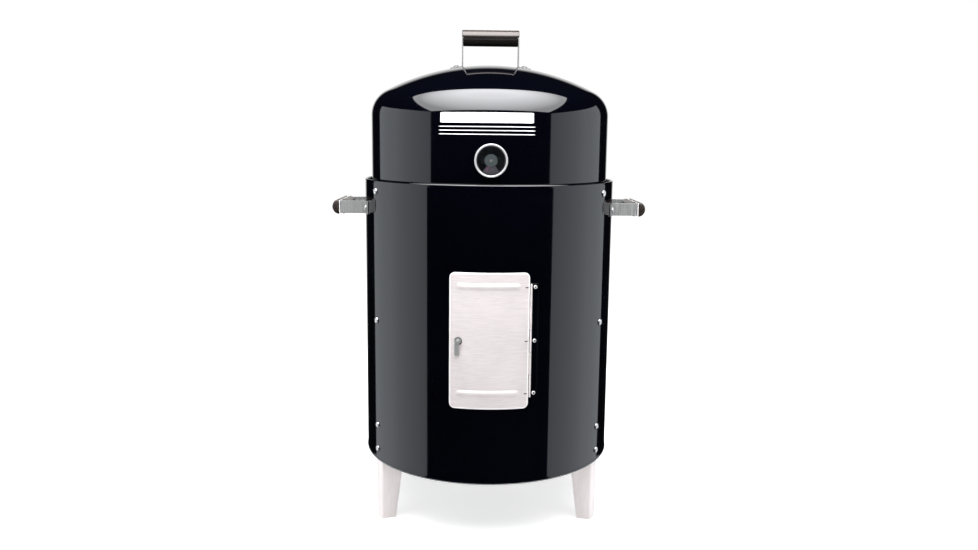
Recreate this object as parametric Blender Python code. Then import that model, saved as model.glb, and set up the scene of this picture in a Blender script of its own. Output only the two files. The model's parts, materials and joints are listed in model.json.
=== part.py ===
"""Vertical water smoker: a sheet barrel on three legs, with a dome lid, a fuel door, two pans, two grills.

Metres, +Z up. The origin is on the ground under the barrel's axis, and the front faces -Y.
Angles round the barrel are in degrees, from the front (-Y) towards the right (+X).
"""

import math

import bmesh
import bpy
from mathutils import Matrix, Vector

GAP = 0.0003  # between faces that touch on the real object
SHEET = 0.0015  # brackets and legs
SKIN = 0.0012  # barrel, lid, pans and door

# Barrel
BODY_R = 0.210
BODY_Z = 0.102
BODY_TOP = 0.568
BEAD = 0.004
BODY_SIDES = 60

# Legs and brackets stand round the barrel at these angles, against the flat of this plane.
STATIONS = {"left": -60.0, "right": 60.0, "rear": 180.0}
PLANE_R = 0.2080
LEG_TOP_Z = 0.172
LEG_WIDTH = 0.024
LEG_FOOT_WIDTH = 0.020
LEG_DEPTH = 0.036
LEG_FOOT_DEPTH = 0.023
LEG_SPLAY = math.radians(12)
BRACKET_WIDTH = 0.020
UPPER_BOLT_Z = 0.5505
LOWER_BOLT_Z = 0.3406
LEG_BOLT_Z = (0.163, 0.122)
UPPER_SHELVES = ((0.5397, 0.1986), (0.5260, 0.1915))  # top height, radius reached
LOWER_SHELVES = ((0.3280, 0.1850), (0.3160, 0.1785))
BRACKET_ABOVE_BOLT = 0.0075

# Fasteners: head radius, head height, shank radius, clamped length, nut radius, nut height
BODY_BOLT = (0.0055, 0.0030, 0.0029, 0.0041, 0.0050, 0.0026)
HANDLE_BOLT = (0.0048, 0.0028, 0.0024, 0.0043, 0.0044, 0.0024)
HINGE_SCREW = (0.0029, 0.0017, 0.0015, 0.0034, 0.0027, 0.0020)
DOOR_RIVET = (0.0019, 0.0009, 0.0012, 0.0022, 0.0012, 0.0005)
DRILL = 0.0004  # a hole's radius over its shank's

# Side handles
HANDLE_Z = 0.5204
STRAP_T = 0.0020
STRAP_H = 0.0207
ARM_Y = 0.0488
PLATE_X = 0.2464
FOOT_ANGLE = 73.5
FOOT_HALF = 0.010
SIDE_GRIPS = (("outer", 1, 0.0133, 0.098), ("inner", -1, 0.0100, 0.090))
SIDE_GRIP_HEIGHT = 0.0242

# Fuel door, its hinge on the right and its latch on the left
DOOR_HALF = 16.65
DOOR_Z = (0.2252, 0.4369)
DOOR_IN_R = 0.2117
DOOR_CORNER = 0.0085
OPENING_HALF = 14.5
OPENING_Z = (0.2360, 0.4260)
RIB_ENDS = (-13.4, 12.3)
RIB_Z = (0.2500, 0.4160)
RIB_HEIGHT = 0.008
RIB_OUT_R = 0.2156
HINGE_ANGLE = 17.25
HINGE_R = 0.2126
HINGE_Z = (0.2425, 0.4195)
KNUCKLES = 5
KNUCKLE_R = 0.0016
KNUCKLE_BORE_R = 0.0011
PIN_R = 0.0008
LEAF_R = (0.2104, 0.2114)
BODY_LEAF_END = 20.5
DOOR_LEAF_END = 13.3
SCREW_ANGLE = 19.05
RIVET_ANGLE = 15.3
FIXING_Z = (0.4145, 0.3315, 0.249)
LATCH_ANGLE = -12.75
LATCH_Z = 0.3315
LATCH_SHAFT_R = 0.0022

# Lid
LID_R = 0.1986
LID_Z = 0.540
LID_HEM_R = 0.2015
LID_HEM_H = 0.0025
SHOULDER_Z = 0.6718
SHOULDER_R = 0.045
APEX_Z = 0.7548
LID_SIDES = 48
GAUGE_Z = 0.6034

# Lid handle
LID_STRAP_T = 0.0018
LID_STRAP_W = 0.020
LID_ARM_X = 0.0467
LID_PLATE_Z = 0.7998
LID_BOLT_X = 0.057
LID_GRIP_R = 0.0125
LID_GRIP_H = 0.012

# Pans and grills
CHARCOAL_RIM_R = 0.1775
CHARCOAL_DEPTH = 0.062
WATER_RIM_R = 0.184
WATER_DEPTH = 0.0835
UPPER_GRILL_R = 0.1965
LOWER_GRILL_R = 0.1905
GRILL_H = 0.005
BAR_PITCH = 0.024
BAR_W = 0.004


def direction(angle):
    """The outward unit vector at an angle round the barrel."""
    a = math.radians(angle)
    return Vector((math.sin(a), -math.cos(a), 0))


def station_frame(angle, radius, z):
    """A frame on the barrel whose X points along the wall, Y up and Z outward."""
    out = direction(angle)
    up = Vector((0, 0, 1))
    along = up.cross(out)
    place = Matrix.Translation(out * radius + up * z)
    return place @ Matrix((along, up, out)).transposed().to_4x4()


def arc(cx, cy, r, start, end, steps):
    """Points on a circle from one angle to another, in degrees."""
    turn = [math.radians(start + (end - start) * i / steps) for i in range(steps + 1)]
    return [(cx + r * math.cos(a), cy + r * math.sin(a)) for a in turn]


# ---------------------------------------------------------------- materials

FINISHES = {
    "black_enamel": ((0.010, 0.010, 0.011), 0.12, 0.0),
    "galvanised": ((0.74, 0.72, 0.71), 0.38, 1.0),
    "zinc_strap": ((0.36, 0.36, 0.37), 0.42, 1.0),
    "dark_wood": ((0.055, 0.036, 0.027), 0.50, 0.0),
    "bright_metal": ((0.82, 0.81, 0.80), 0.16, 1.0),
    "dial_face": ((0.030, 0.030, 0.032), 0.45, 0.0),
    "needle_paint": ((0.34, 0.22, 0.33), 0.40, 0.0),
    "clear_glass": ((0.90, 0.93, 0.95), 0.05, 0.0),
}


def finish(name):
    """The named Principled material, made once."""
    if name in bpy.data.materials:
        return bpy.data.materials[name]
    color, roughness, metallic = FINISHES[name]
    made = bpy.data.materials.new(name)
    made.use_nodes = True
    shader = made.node_tree.nodes["Principled BSDF"]
    shader.inputs["Base Color"].default_value = (*color, 1.0)
    shader.inputs["Roughness"].default_value = roughness
    shader.inputs["Metallic"].default_value = metallic
    return made


# ---------------------------------------------------------------- mesh tools


def place_object(name, mesh, frame=None, parent=None):
    """Add an object for a mesh, at a world frame, under an optional parent."""
    obj = bpy.data.objects.new(name, mesh)
    bpy.context.scene.collection.objects.link(obj)
    frame = frame or Matrix.Identity(4)
    if parent:
        obj.parent = parent
        obj.matrix_local = parent.matrix_basis.inverted() @ frame
    else:
        obj.matrix_basis = frame
    return obj


def to_mesh(bm, name, material):
    """Close a bmesh into a mesh with outward faces, smooth where it is round."""
    bmesh.ops.recalc_face_normals(bm, faces=bm.faces)
    mesh = bpy.data.meshes.new(name)
    bm.to_mesh(mesh)
    bm.free()
    mesh.materials.append(finish(material))
    mesh.shade_smooth()
    mesh.set_sharp_from_angle(angle=math.radians(35))
    return mesh


def revolve(bm, profile, sides, frame=None):
    """Turn a profile of (radius, height) about Z. A profile not on the axis at its ends is a closed ring."""
    frame = frame or Matrix.Identity(4)
    rings = []
    for r, z in profile:
        count = sides if r > 1e-9 else 1
        turn = [2 * math.pi * k / count for k in range(count)]
        spots = [Vector((r * math.sin(a), -r * math.cos(a), z)) for a in turn]
        rings.append([bm.verts.new(frame @ p) for p in spots])
    pairs = list(zip(rings, rings[1:]))
    if len(rings[0]) > 1:
        pairs.append((rings[-1], rings[0]))
    for low, high in pairs:
        for k in range(sides):
            n = (k + 1) % sides
            corners = [low[k % len(low)], low[n % len(low)], high[n % len(high)], high[k % len(high)]]
            bm.faces.new(list(dict.fromkeys(corners)))
    return bm


def prism(bm, outline, low, high, frame=None):
    """Extrude an outline in a frame's XY from one Z to another."""
    frame = frame or Matrix.Identity(4)
    face = bm.faces.new([bm.verts.new(frame @ Vector((x, y, low))) for x, y in outline])
    pushed = bmesh.ops.extrude_face_region(bm, geom=[face])["geom"]
    verts = [v for v in pushed if isinstance(v, bmesh.types.BMVert)]
    rise = (frame.to_3x3() @ Vector((0, 0, 1))) * (high - low)
    bmesh.ops.translate(bm, verts=verts, vec=rise)
    return bm


def disc(bm, r, low, high, frame, sides=12):
    """A cylinder from one Z to another of a frame."""
    return revolve(bm, [(0, low), (r, low), (r, high), (0, high)], sides, frame)


def wrapped_plate(bm, half, z_low, z_high, r_in, r_out, corner=0.0, middle=0.0, step=3.0):
    """A plate bent round the barrel, with rounded corners, from -half to +half degrees about middle."""
    corner_deg = math.degrees(corner / r_out)
    columns = [(-half, corner)] if corner else [(-half, 0.0)]
    if corner:
        for x, y in arc(0, 0, 1, 180, 90, 4)[1:]:
            columns.append((-half + corner_deg * (1 + x), corner * (1 - y)))
    inner = max(1, round(2 * (half - corner_deg) / step))
    first = columns[-1][0]
    columns += [(first - 2 * first * i / inner, 0.0) for i in range(1, inner)]
    columns += [(-a, inset) for a, inset in reversed(columns) if a <= first + 1e-9]
    loops = []
    for a, inset in columns:
        out = direction(middle + a)
        low, high = Vector((0, 0, z_low + inset)), Vector((0, 0, z_high - inset))
        spots = [out * r_in + low, out * r_out + low, out * r_out + high, out * r_in + high]
        loops.append([bm.verts.new(p) for p in spots])
    for a, b in zip(loops, loops[1:]):
        for k in range(4):
            bm.faces.new([a[k], a[(k + 1) % 4], b[(k + 1) % 4], b[k]])
    bm.faces.new(loops[0])
    bm.faces.new(loops[-1])
    return bm


def round_corners(points, radius, steps=3):
    """Replace each inner corner of an open path with an arc."""
    path = [Vector(points[0])]
    for before, here, after in zip(points, points[1:], points[2:]):
        here = Vector(here)
        back = (Vector(before) - here).normalized()
        on = (Vector(after) - here).normalized()
        half = back.angle(on) / 2
        reach = radius / math.tan(half)
        centre = here + (back + on).normalized() * radius / math.sin(half)
        start, end = here + back * reach - centre, here + on * reach - centre
        turn = start.angle_signed(end)
        path += [centre + Matrix.Rotation(-turn * i / steps, 2) @ start for i in range(steps + 1)]
    return path + [Vector(points[-1])]


def strip_outline(path, thickness):
    """The closed outline of a bent strip that follows a path."""
    left, right = [], []
    for i, here in enumerate(path):
        legs = [path[j + 1] - path[j] for j in (i - 1, i) if 0 <= j < len(path) - 1]
        sides = [Vector((-leg.y, leg.x)).normalized() for leg in legs]
        side = sum(sides, Vector((0, 0))).normalized()
        side *= thickness / 2 / side.dot(sides[0])
        left.append(here + side)
        right.append(here - side)
    return left + right[::-1]


def boolean(obj, bm, operation, label):
    """Combine an object with a hidden operand made from a bmesh."""
    operand = place_object(f"{obj.name}_{label}", to_mesh(bm, label, "galvanised"))
    operand.parent = obj.parent
    operand.matrix_parent_inverse = obj.parent.matrix_basis.inverted() if obj.parent else Matrix()
    operand.hide_render = True
    operand.display_type = "WIRE"
    combine = obj.modifiers.new(label, "BOOLEAN")
    combine.operation = operation
    combine.solver = "EXACT"
    combine.object = operand


def drill(obj, holes, label="holes", sides=12):
    """Cut round holes, each (frame, radius, inner Z, outer Z)."""
    cutter = bmesh.new()
    for frame, r, low, high in holes:
        disc(cutter, r, low, high, frame, sides)
    boolean(obj, cutter, "DIFFERENCE", label)


def pivot(name, frame):
    """An empty on a joint's axis, which carries a moving piece."""
    empty = bpy.data.objects.new(name, None)
    empty.matrix_basis = frame
    bpy.context.scene.collection.objects.link(empty)
    return empty


# ---------------------------------------------------------------- fasteners


def fastener_mesh(name, size, sides=8):
    """A domed head, shank and nut in one, the head's seat at Z 0 and its dome up."""
    head_r, head_h, shank_r, clamp, nut_r, nut_h = size
    dome = [(head_r * math.cos(math.radians(a)), head_h * math.sin(math.radians(a))) for a in (0, 50, 90)]
    shank = [(shank_r, 0), (shank_r, -clamp)]
    nut = [(nut_r, -clamp), (nut_r, -clamp - nut_h), (0, -clamp - nut_h)]
    profile = [(0 if r < 1e-9 else r, z) for r, z in dome[::-1]] + shank + nut[nut_r == shank_r :]
    bm = revolve(bmesh.new(), profile, sides)
    return to_mesh(bm, name, "bright_metal")


# ---------------------------------------------------------------- barrel


def body_bolts():
    """Name and frame of each bolt through the barrel wall, its head seated on the outside."""
    heights = {"upper_bracket_bolt": UPPER_BOLT_Z, "lower_bracket_bolt": LOWER_BOLT_Z}
    heights.update({"leg_upper_bolt": LEG_BOLT_Z[0], "leg_lower_bolt": LEG_BOLT_Z[1]})
    for kind, z in heights.items():
        for side, angle in STATIONS.items():
            yield f"{kind}_{side}", station_frame(angle, BODY_R + GAP, z)


def side_handle_bolts():
    """Name and frame of each bolt through a side handle's foot."""
    seat = BODY_R + 2 * GAP + STRAP_T
    for side, sign in (("left", -1), ("right", 1)):
        for place, angle in (("front", FOOT_ANGLE), ("rear", 180 - FOOT_ANGLE)):
            yield f"handle_bolt_{side}_{place}", station_frame(sign * angle, seat, HANDLE_Z)


def body_profile():
    """The barrel's wall with a rolled bead at the top."""
    bead = arc(BODY_R - BEAD / 2, BODY_TOP - BEAD / 2, BEAD / 2, 0, 240, 4)
    foot = [(BODY_R - SKIN, BODY_Z), (BODY_R, BODY_Z)]
    return foot + bead + [(BODY_R - SKIN, BODY_TOP - BEAD - SKIN)]


def make_body():
    mesh = to_mesh(revolve(bmesh.new(), body_profile(), BODY_SIDES), "smoker_body", "black_enamel")
    body = place_object("smoker_body", mesh)
    opening = wrapped_plate(bmesh.new(), OPENING_HALF, *OPENING_Z, BODY_R - 0.01, BODY_R + 0.01, 0.006)
    boolean(body, opening, "DIFFERENCE", "opening")
    holes = [(frame, BODY_BOLT[2] + DRILL, -0.006, 0.004) for _, frame in body_bolts()]
    holes += [(frame, HANDLE_BOLT[2] + DRILL, -0.006, 0.004) for _, frame in side_handle_bolts()]
    for z in FIXING_Z:
        holes.append((station_frame(SCREW_ANGLE, BODY_R, z), HINGE_SCREW[2] + DRILL, -0.006, 0.004))
    drill(body, holes, sides=10)


def leg_section(width, depth):
    """The channel's outline, its web along X and its mouth towards -Y."""
    spread = depth * math.tan(LEG_SPLAY)
    half, lean = width / 2, SHEET / math.cos(LEG_SPLAY)
    right = [(half, 0), (half + spread, -depth), (half + spread - lean, -depth)]
    inner = [(half - lean + SHEET * math.tan(LEG_SPLAY), -SHEET)]
    return right + inner + [(-x, y) for x, y in (right + inner)[::-1]]


def make_leg(side, angle):
    """A channel that tapers to the ground, with a foot plate turned in at its bottom."""
    bm = bmesh.new()
    levels = [(0, LEG_FOOT_WIDTH, LEG_FOOT_DEPTH)]
    levels += [(z, LEG_WIDTH, LEG_DEPTH) for z in (BODY_Z, LEG_TOP_Z)]
    frame = station_frame(angle, PLANE_R, 0)
    loops = []
    for z, width, depth in levels:
        section = [frame @ Vector((x, z, y)) for x, y in leg_section(width, depth)]
        loops.append([bm.verts.new(p) for p in section])
    for low, high in zip(loops, loops[1:]):
        for k in range(len(low)):
            n = (k + 1) % len(low)
            bm.faces.new([low[k], low[n], high[n], high[k]])
    bm.faces.new(loops[0])
    bm.faces.new(loops[-1])
    leg = place_object(f"leg_{side}", to_mesh(bm, f"leg_{side}", "galvanised"))
    edge = LEG_FOOT_WIDTH / 2 - SHEET / 2
    deep = LEG_FOOT_DEPTH - 0.004
    spread = deep * math.tan(LEG_SPLAY)
    plate = [(-edge, -SHEET / 2), (edge, -SHEET / 2), (edge + spread, -deep), (-edge - spread, -deep)]
    flat = frame @ Matrix.Rotation(math.radians(90), 4, "X")
    foot = prism(bmesh.new(), plate, 0, -SHEET, flat)
    boolean(leg, foot, "UNION", "foot")
    holes = [(station_frame(angle, PLANE_R, z), BODY_BOLT[2] + DRILL, -0.004, 0.002) for z in LEG_BOLT_Z]
    drill(leg, holes)


def make_bracket(name, angle, bolt_z, shelves):
    """A bent bracket with two shelves, the upper one shorter."""
    (top, top_r), (low, low_r) = shelves
    back = PLANE_R - SHEET
    crest = bolt_z + BRACKET_ABOVE_BOLT
    outline = [(PLANE_R, low - SHEET), (PLANE_R, crest), (back, crest), (back, top), (top_r, top)]
    outline += [(top_r, top - SHEET), (back, top - SHEET), (back, low), (low_r, low), (low_r, low - SHEET)]
    out, up = direction(angle), Vector((0, 0, 1))
    frame = Matrix((out, up, out.cross(up))).transposed().to_4x4()
    bm = prism(bmesh.new(), outline, -BRACKET_WIDTH / 2, BRACKET_WIDTH / 2, frame)
    bracket = place_object(name, to_mesh(bm, name, "galvanised"))
    drill(bracket, [(station_frame(angle, PLANE_R, bolt_z), BODY_BOLT[2] + DRILL, -0.004, 0.002)])


def side_strap_path(sign):
    """The side handle's strap seen from above: foot, arm, plate, arm, foot."""
    out = direction(FOOT_ANGLE)
    foot = out * (BODY_R + GAP + STRAP_T / 2)
    forward = Vector((-out.y, out.x, 0)) * -1
    tip = foot + forward * FOOT_HALF
    bend = foot - forward * ((foot.y + ARM_Y) / forward.y)
    half = [(tip.x, tip.y), (bend.x, bend.y), (PLATE_X, -ARM_Y)]
    path = half + [(x, -y) for x, y in half[::-1]]
    return [(sign * x, y) for x, y in path]


def make_side_handle(side, sign):
    path = round_corners([Vector(p) for p in side_strap_path(sign)], 0.003)
    low, high = HANDLE_Z - STRAP_H / 2, HANDLE_Z + STRAP_H / 2
    bm = prism(bmesh.new(), strip_outline(path, STRAP_T), low, high)
    strap = place_object(f"{side}_handle_strap", to_mesh(bm, "side_strap", "zinc_strap"))
    feet = [frame for name, frame in side_handle_bolts() if f"_{side}_" in name]
    drill(strap, [(frame, HANDLE_BOLT[2] + DRILL, -0.005, 0.002) for frame in feet])
    face = STRAP_T / 2 + GAP
    half = SIDE_GRIP_HEIGHT / 2
    frame = Matrix(((sign, 0, 0, sign * PLATE_X), (0, 0, -1, 0), (0, 1, 0, HANDLE_Z), (0, 0, 0, 1)))
    for place, way, depth, length in SIDE_GRIPS:
        bulge = [(way * (face + depth * max(0.0, x)), half * y) for x, y in arc(0, 0, 1, -90, 90, 8)]
        grip = prism(bmesh.new(), bulge, -length / 2, length / 2, frame)
        place_object(f"{side}_grip_{place}", to_mesh(grip, "side_grip", "dark_wood"))


# ---------------------------------------------------------------- fuel door


def hinge_leaf(name, start, end, first, parent=None):
    """A hinge leaf on the barrel's curve with every second knuckle, starting at one of them."""
    middle, half = (start + end) / 2, abs(end - start) / 2
    bm = wrapped_plate(bmesh.new(), half, *HINGE_Z, *LEAF_R, 0, middle, 1.5)
    leaf = place_object(name, to_mesh(bm, name, "galvanised"), parent=parent)
    pitch = (HINGE_Z[1] - HINGE_Z[0]) / KNUCKLES
    rolls, gaps = bmesh.new(), bmesh.new()
    axis = direction(HINGE_ANGLE) * HINGE_R
    for k in range(KNUCKLES):
        low = HINGE_Z[0] + k * pitch + (GAP if k else 0.0)
        high = HINGE_Z[0] + (k + 1) * pitch - (GAP if k < KNUCKLES - 1 else 0.0)
        frame = Matrix.Translation(axis)
        if k % 2 == first:
            ring = [(KNUCKLE_BORE_R, low), (KNUCKLE_R, low), (KNUCKLE_R, high), (KNUCKLE_BORE_R, high)]
            revolve(rolls, ring, 12, frame)
        else:
            disc(gaps, KNUCKLE_R + 0.0005, low - 2 * GAP, high + 2 * GAP, frame)
    boolean(leaf, gaps, "DIFFERENCE", "clearance")
    boolean(leaf, rolls, "UNION", "knuckles")
    return leaf


def make_hinge(door_pivot):
    fixed = hinge_leaf("body_hinge_leaf", HINGE_ANGLE + 0.1, BODY_LEAF_END, 0)
    fixed.data.materials[0] = finish("black_enamel")
    bore = HINGE_SCREW[2] + DRILL
    screws = [(station_frame(SCREW_ANGLE, LEAF_R[0], z), bore, -0.002, 0.003) for z in FIXING_Z]
    drill(fixed, screws)
    moving = hinge_leaf("door_hinge_leaf", HINGE_ANGLE - 0.1, DOOR_LEAF_END, 1, door_pivot)
    bore = DOOR_RIVET[2] + DRILL
    rivets = [(station_frame(RIVET_ANGLE, LEAF_R[0], z), bore, -0.002, 0.003) for z in FIXING_Z]
    drill(moving, rivets)
    axis = Matrix.Translation(direction(HINGE_ANGLE) * HINGE_R)
    pin = disc(bmesh.new(), PIN_R, HINGE_Z[0] - 0.0006, HINGE_Z[1] + 0.0006, axis)
    place_object("hinge_pin", to_mesh(pin, "hinge_pin", "bright_metal"))
    screw = fastener_mesh("hinge_screw", HINGE_SCREW)
    rivet = fastener_mesh("door_rivet", DOOR_RIVET)
    for place, z in zip(("upper", "middle", "lower"), FIXING_Z):
        place_object(f"hinge_screw_{place}", screw, station_frame(SCREW_ANGLE, LEAF_R[1] + GAP, z))
        seat = station_frame(RIVET_ANGLE, DOOR_IN_R + SKIN + GAP, z)
        place_object(f"door_rivet_{place}", rivet, seat, door_pivot)


def make_door(door_pivot):
    """The curved panel with two pressed ribs."""
    outer = DOOR_IN_R + SKIN
    bm = wrapped_plate(bmesh.new(), DOOR_HALF, *DOOR_Z, DOOR_IN_R, outer, DOOR_CORNER)
    door = place_object("fire_door", to_mesh(bm, "fire_door", "galvanised"), parent=door_pivot)
    ribs = bmesh.new()
    half, middle = (RIB_ENDS[1] - RIB_ENDS[0]) / 2, sum(RIB_ENDS) / 2
    for z in RIB_Z:
        low, high = z - RIB_HEIGHT / 2, z + RIB_HEIGHT / 2
        wrapped_plate(ribs, half, low, high, DOOR_IN_R + SKIN / 2, RIB_OUT_R, RIB_HEIGHT / 2 - 0.0002, middle)
    boolean(door, ribs, "UNION", "ribs")
    holes = [(station_frame(RIVET_ANGLE, outer, z), DOOR_RIVET[2] + DRILL, -0.004, 0.002) for z in FIXING_Z]
    holes.append((station_frame(LATCH_ANGLE, outer, LATCH_Z), LATCH_SHAFT_R + DRILL, -0.004, 0.003))
    drill(door, holes)


def make_latch(latch_pivot):
    """A lever outside the door, on a shaft that turns a tongue behind the wall."""
    frame = station_frame(LATCH_ANGLE, 0, LATCH_Z)
    seat = DOOR_IN_R + SKIN + GAP
    hub = [(0.0065 * x, 0.0050 * y) for x, y in arc(0, 0, 1, -30, 210, 8)]
    blade = [(-0.0056, -0.0060)] + arc(-0.0018, -0.0190, 0.0034, 180, 360, 5) + [(0.0020, -0.0060)]
    lever = prism(bmesh.new(), hub + blade, seat, seat + 0.003, frame)
    obj = place_object("latch_lever", to_mesh(lever, "latch_lever", "zinc_strap"), parent=latch_pivot)
    shaft = disc(bmesh.new(), LATCH_SHAFT_R, 0.2012, seat + 0.001, frame)
    boolean(obj, shaft, "UNION", "shaft")
    bar = [(0.0035, -0.0045), (0.0035, 0.0185), (0.0020, 0.0200), (-0.0020, 0.0200), (-0.0035, 0.0185)]
    tongue = prism(bmesh.new(), bar + [(-0.0035, -0.0045)], 0.2035, 0.2055, frame)
    tongue_mesh = to_mesh(tongue, "latch_tongue", "galvanised")
    tongue_obj = place_object("latch_tongue", tongue_mesh, parent=latch_pivot)
    drill(tongue_obj, [(frame, LATCH_SHAFT_R + GAP, 0.2020, 0.2070)])
    bore = LATCH_SHAFT_R + GAP
    ring = [(bore, 0.2015), (0.0042, 0.2015), (0.0042, 0.2032), (bore, 0.2032)]
    nut = revolve(bmesh.new(), ring, 12, frame)
    place_object("latch_nut", to_mesh(nut, "latch_nut", "bright_metal"), parent=latch_pivot)


# ---------------------------------------------------------------- lid


def dome_radius():
    """The crown's radius, tangent to the shoulder and through the apex."""
    centre_r = LID_R - SHOULDER_R
    rise = APEX_Z - SHOULDER_Z
    return (centre_r**2 + rise**2 - SHOULDER_R**2) / (2 * (rise - SHOULDER_R))


def dome_arcs(inset):
    """The shoulder and the crown from the wall to the apex, a given depth inside the surface."""
    crown = dome_radius()
    centre_z = APEX_Z - crown
    centre_r = LID_R - SHOULDER_R
    meet = math.degrees(math.atan2(SHOULDER_Z - centre_z, centre_r))
    shoulder = arc(centre_r, SHOULDER_Z, SHOULDER_R - inset, 0, meet, 5)
    dome = arc(0, centre_z, crown - inset, meet, 90, 5)[1:-1]
    return shoulder + dome + [(0, APEX_Z - inset)]


def make_lid(lid_pivot):
    inner = LID_R - SKIN
    hem_top = LID_Z + LID_HEM_H
    hem = [(inner, LID_Z), (LID_HEM_R, LID_Z), (LID_HEM_R, hem_top), (LID_R, hem_top + 0.0007)]
    profile = dome_arcs(SKIN)[::-1] + hem + dome_arcs(0)
    mesh = to_mesh(revolve(bmesh.new(), profile, LID_SIDES), "dome_lid", "black_enamel")
    lid = place_object("dome_lid", mesh, parent=lid_pivot)
    stem = (station_frame(0, LID_R, GAUGE_Z), 0.0044, -0.004, 0.003)
    bolts = [(frame, HANDLE_BOLT[2] + DRILL, -0.008, 0.002) for frame in lid_bolt_frames()]
    drill(lid, [stem] + bolts)


def lid_bolt_frames():
    """Frames of the lid handle's bolts, seated on the strap's feet, square to the crown."""
    crown = dome_radius()
    lean = math.asin(LID_BOLT_X / crown)
    seat = crown + 2 * GAP + LID_STRAP_T
    for sign in (-1, 1):
        turn = Matrix.Rotation(sign * lean, 4, "Y")
        yield Matrix.Translation((0, 0, APEX_Z - crown)) @ turn @ Matrix.Translation((0, 0, seat))


def make_lid_handle(lid_pivot):
    crown = dome_radius()
    lean = math.asin(LID_BOLT_X / crown)
    foot_r = crown + GAP + LID_STRAP_T / 2
    foot = Vector((foot_r * math.sin(lean), APEX_Z - crown + foot_r * math.cos(lean)))
    along = Vector((math.cos(lean), -math.sin(lean)))
    bend = foot - along * ((foot.x - LID_ARM_X) / along.x)
    half = [foot + along * FOOT_HALF, bend, Vector((LID_ARM_X, LID_PLATE_Z))]
    path = half + [Vector((-p.x, p.y)) for p in half[::-1]]
    outline = strip_outline(round_corners(path, 0.0014), LID_STRAP_T)
    upright = Matrix(((1, 0, 0, 0), (0, 0, -1, 0), (0, 1, 0, 0), (0, 0, 0, 1)))
    bm = prism(bmesh.new(), outline, -LID_STRAP_W / 2, LID_STRAP_W / 2, upright)
    strap = place_object("lid_handle_strap", to_mesh(bm, "lid_strap", "zinc_strap"), parent=lid_pivot)
    drill(strap, [(frame, HANDLE_BOLT[2] + DRILL, -0.004, 0.002) for frame in lid_bolt_frames()])
    face = LID_STRAP_T / 2 + GAP
    across = Matrix(((0, 0, 1, 0), (1, 0, 0, 0), (0, 1, 0, LID_PLATE_Z), (0, 0, 0, 1)))
    for name, sign, length in (("lid_grip_upper", 1, 0.095), ("lid_grip_lower", -1, 0.0895)):
        curve = arc(0, 0, 1, 0, 180, 8)
        bulge = [(LID_GRIP_R * x, sign * (face + LID_GRIP_H * max(0.0, y))) for x, y in curve]
        grip = prism(bmesh.new(), bulge, -length / 2, length / 2, across)
        place_object(name, to_mesh(grip, name, "dark_wood"), parent=lid_pivot)
    bolt = fastener_mesh("lid_handle_bolt", HANDLE_BOLT)
    for side, frame in zip(("left", "right"), lid_bolt_frames()):
        place_object(f"lid_handle_bolt_{side}", bolt, frame, lid_pivot)


def make_gauge(lid_pivot, needle_pivot):
    """A round dial on the lid's front, built along the outward axis from the lid's surface."""
    frame = station_frame(0, LID_R, GAUGE_Z)
    case = [(0, -0.0125), (0.0040, -0.0125), (0.0040, 0.0003), (0.0248, 0.0003), (0.0248, 0.0098)]
    case += [(0.0240, 0.0106), (0.0226, 0.0106), (0.0218, 0.0098), (0.0218, 0.0090), (0.0236, 0.0090)]
    case += [(0.0236, 0.0015), (0, 0.0015)]
    ring = revolve(bmesh.new(), case, 24, frame)
    place_object("gauge_case", to_mesh(ring, "gauge_case", "bright_metal"), parent=lid_pivot)
    dial = disc(bmesh.new(), 0.0232, 0.0020, 0.0028, frame, 24)
    place_object("gauge_dial", to_mesh(dial, "gauge_dial", "dial_face"), parent=lid_pivot)
    lens = disc(bmesh.new(), 0.0232, 0.0078, 0.0086, frame, 24)
    place_object("gauge_lens", to_mesh(lens, "gauge_lens", "clear_glass"), parent=lid_pivot)
    nut_ring = [(0.0050, -0.0060), (0.0078, -0.0060), (0.0078, -0.0020), (0.0050, -0.0020)]
    nut = revolve(bmesh.new(), nut_ring, 6, frame)
    place_object("gauge_nut", to_mesh(nut, "gauge_nut", "bright_metal"), parent=lid_pivot)
    low_mark = math.radians(120)
    tip = frame @ Matrix.Rotation(low_mark, 4, "Z")
    blade = [(-0.0009, -0.006), (0.0009, -0.006), (0.0011, 0.0)]
    blade += [(0.0003, 0.0185), (-0.0003, 0.0185), (-0.0011, 0.0)]
    needle = place_object(
        "gauge_needle",
        to_mesh(prism(bmesh.new(), blade, 0.0040, 0.0046, tip), "gauge_needle", "needle_paint"),
        parent=needle_pivot,
    )
    hub = disc(bmesh.new(), 0.0020, 0.0032, 0.0052, frame, 10)
    boolean(needle, hub, "UNION", "hub")


# ---------------------------------------------------------------- pans and grills


def make_pan(name, seat_z, rim_r, depth, wall_drop, round_r, parent):
    """A spun bowl that hangs by its flat rim."""
    rim_w, rim_h = 0.0095, 0.0017
    wall_r, base_z = rim_r - rim_w, seat_z - depth
    base_r = wall_r - wall_drop
    outside = [(0, base_z)] + arc(base_r - round_r, base_z + round_r, round_r, -90, -20, 3)
    rim = [(wall_r, seat_z), (rim_r, seat_z), (rim_r, seat_z + rim_h), (wall_r - SKIN, seat_z + rim_h)]
    inside = [(base_r - round_r, base_z + round_r, round_r - SKIN)]
    bowl = [p for x, y, r in inside for p in arc(x, y, r, -20, -90, 3)] + [(0, base_z + SKIN)]
    bm = revolve(bmesh.new(), outside + rim + bowl, 32)
    place_object(name, to_mesh(bm, name, "black_enamel"), parent=parent)


def bar_solids(bm, radius, pitch, width, low, high, turn, reach):
    """Parallel square bars across a ring, evenly spaced about its middle."""
    frame = Matrix.Rotation(turn, 4, "Z")
    count = int((radius - pitch / 3) / pitch)
    for k in range(-count, count + 1):
        x = k * pitch
        half = math.sqrt(radius**2 - x**2) - reach
        left, right = x - width / 2, x + width / 2
        corners = [(left, -half), (right, -half), (right, half), (left, half)]
        prism(bm, corners, low, high, frame)
    return bm


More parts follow.
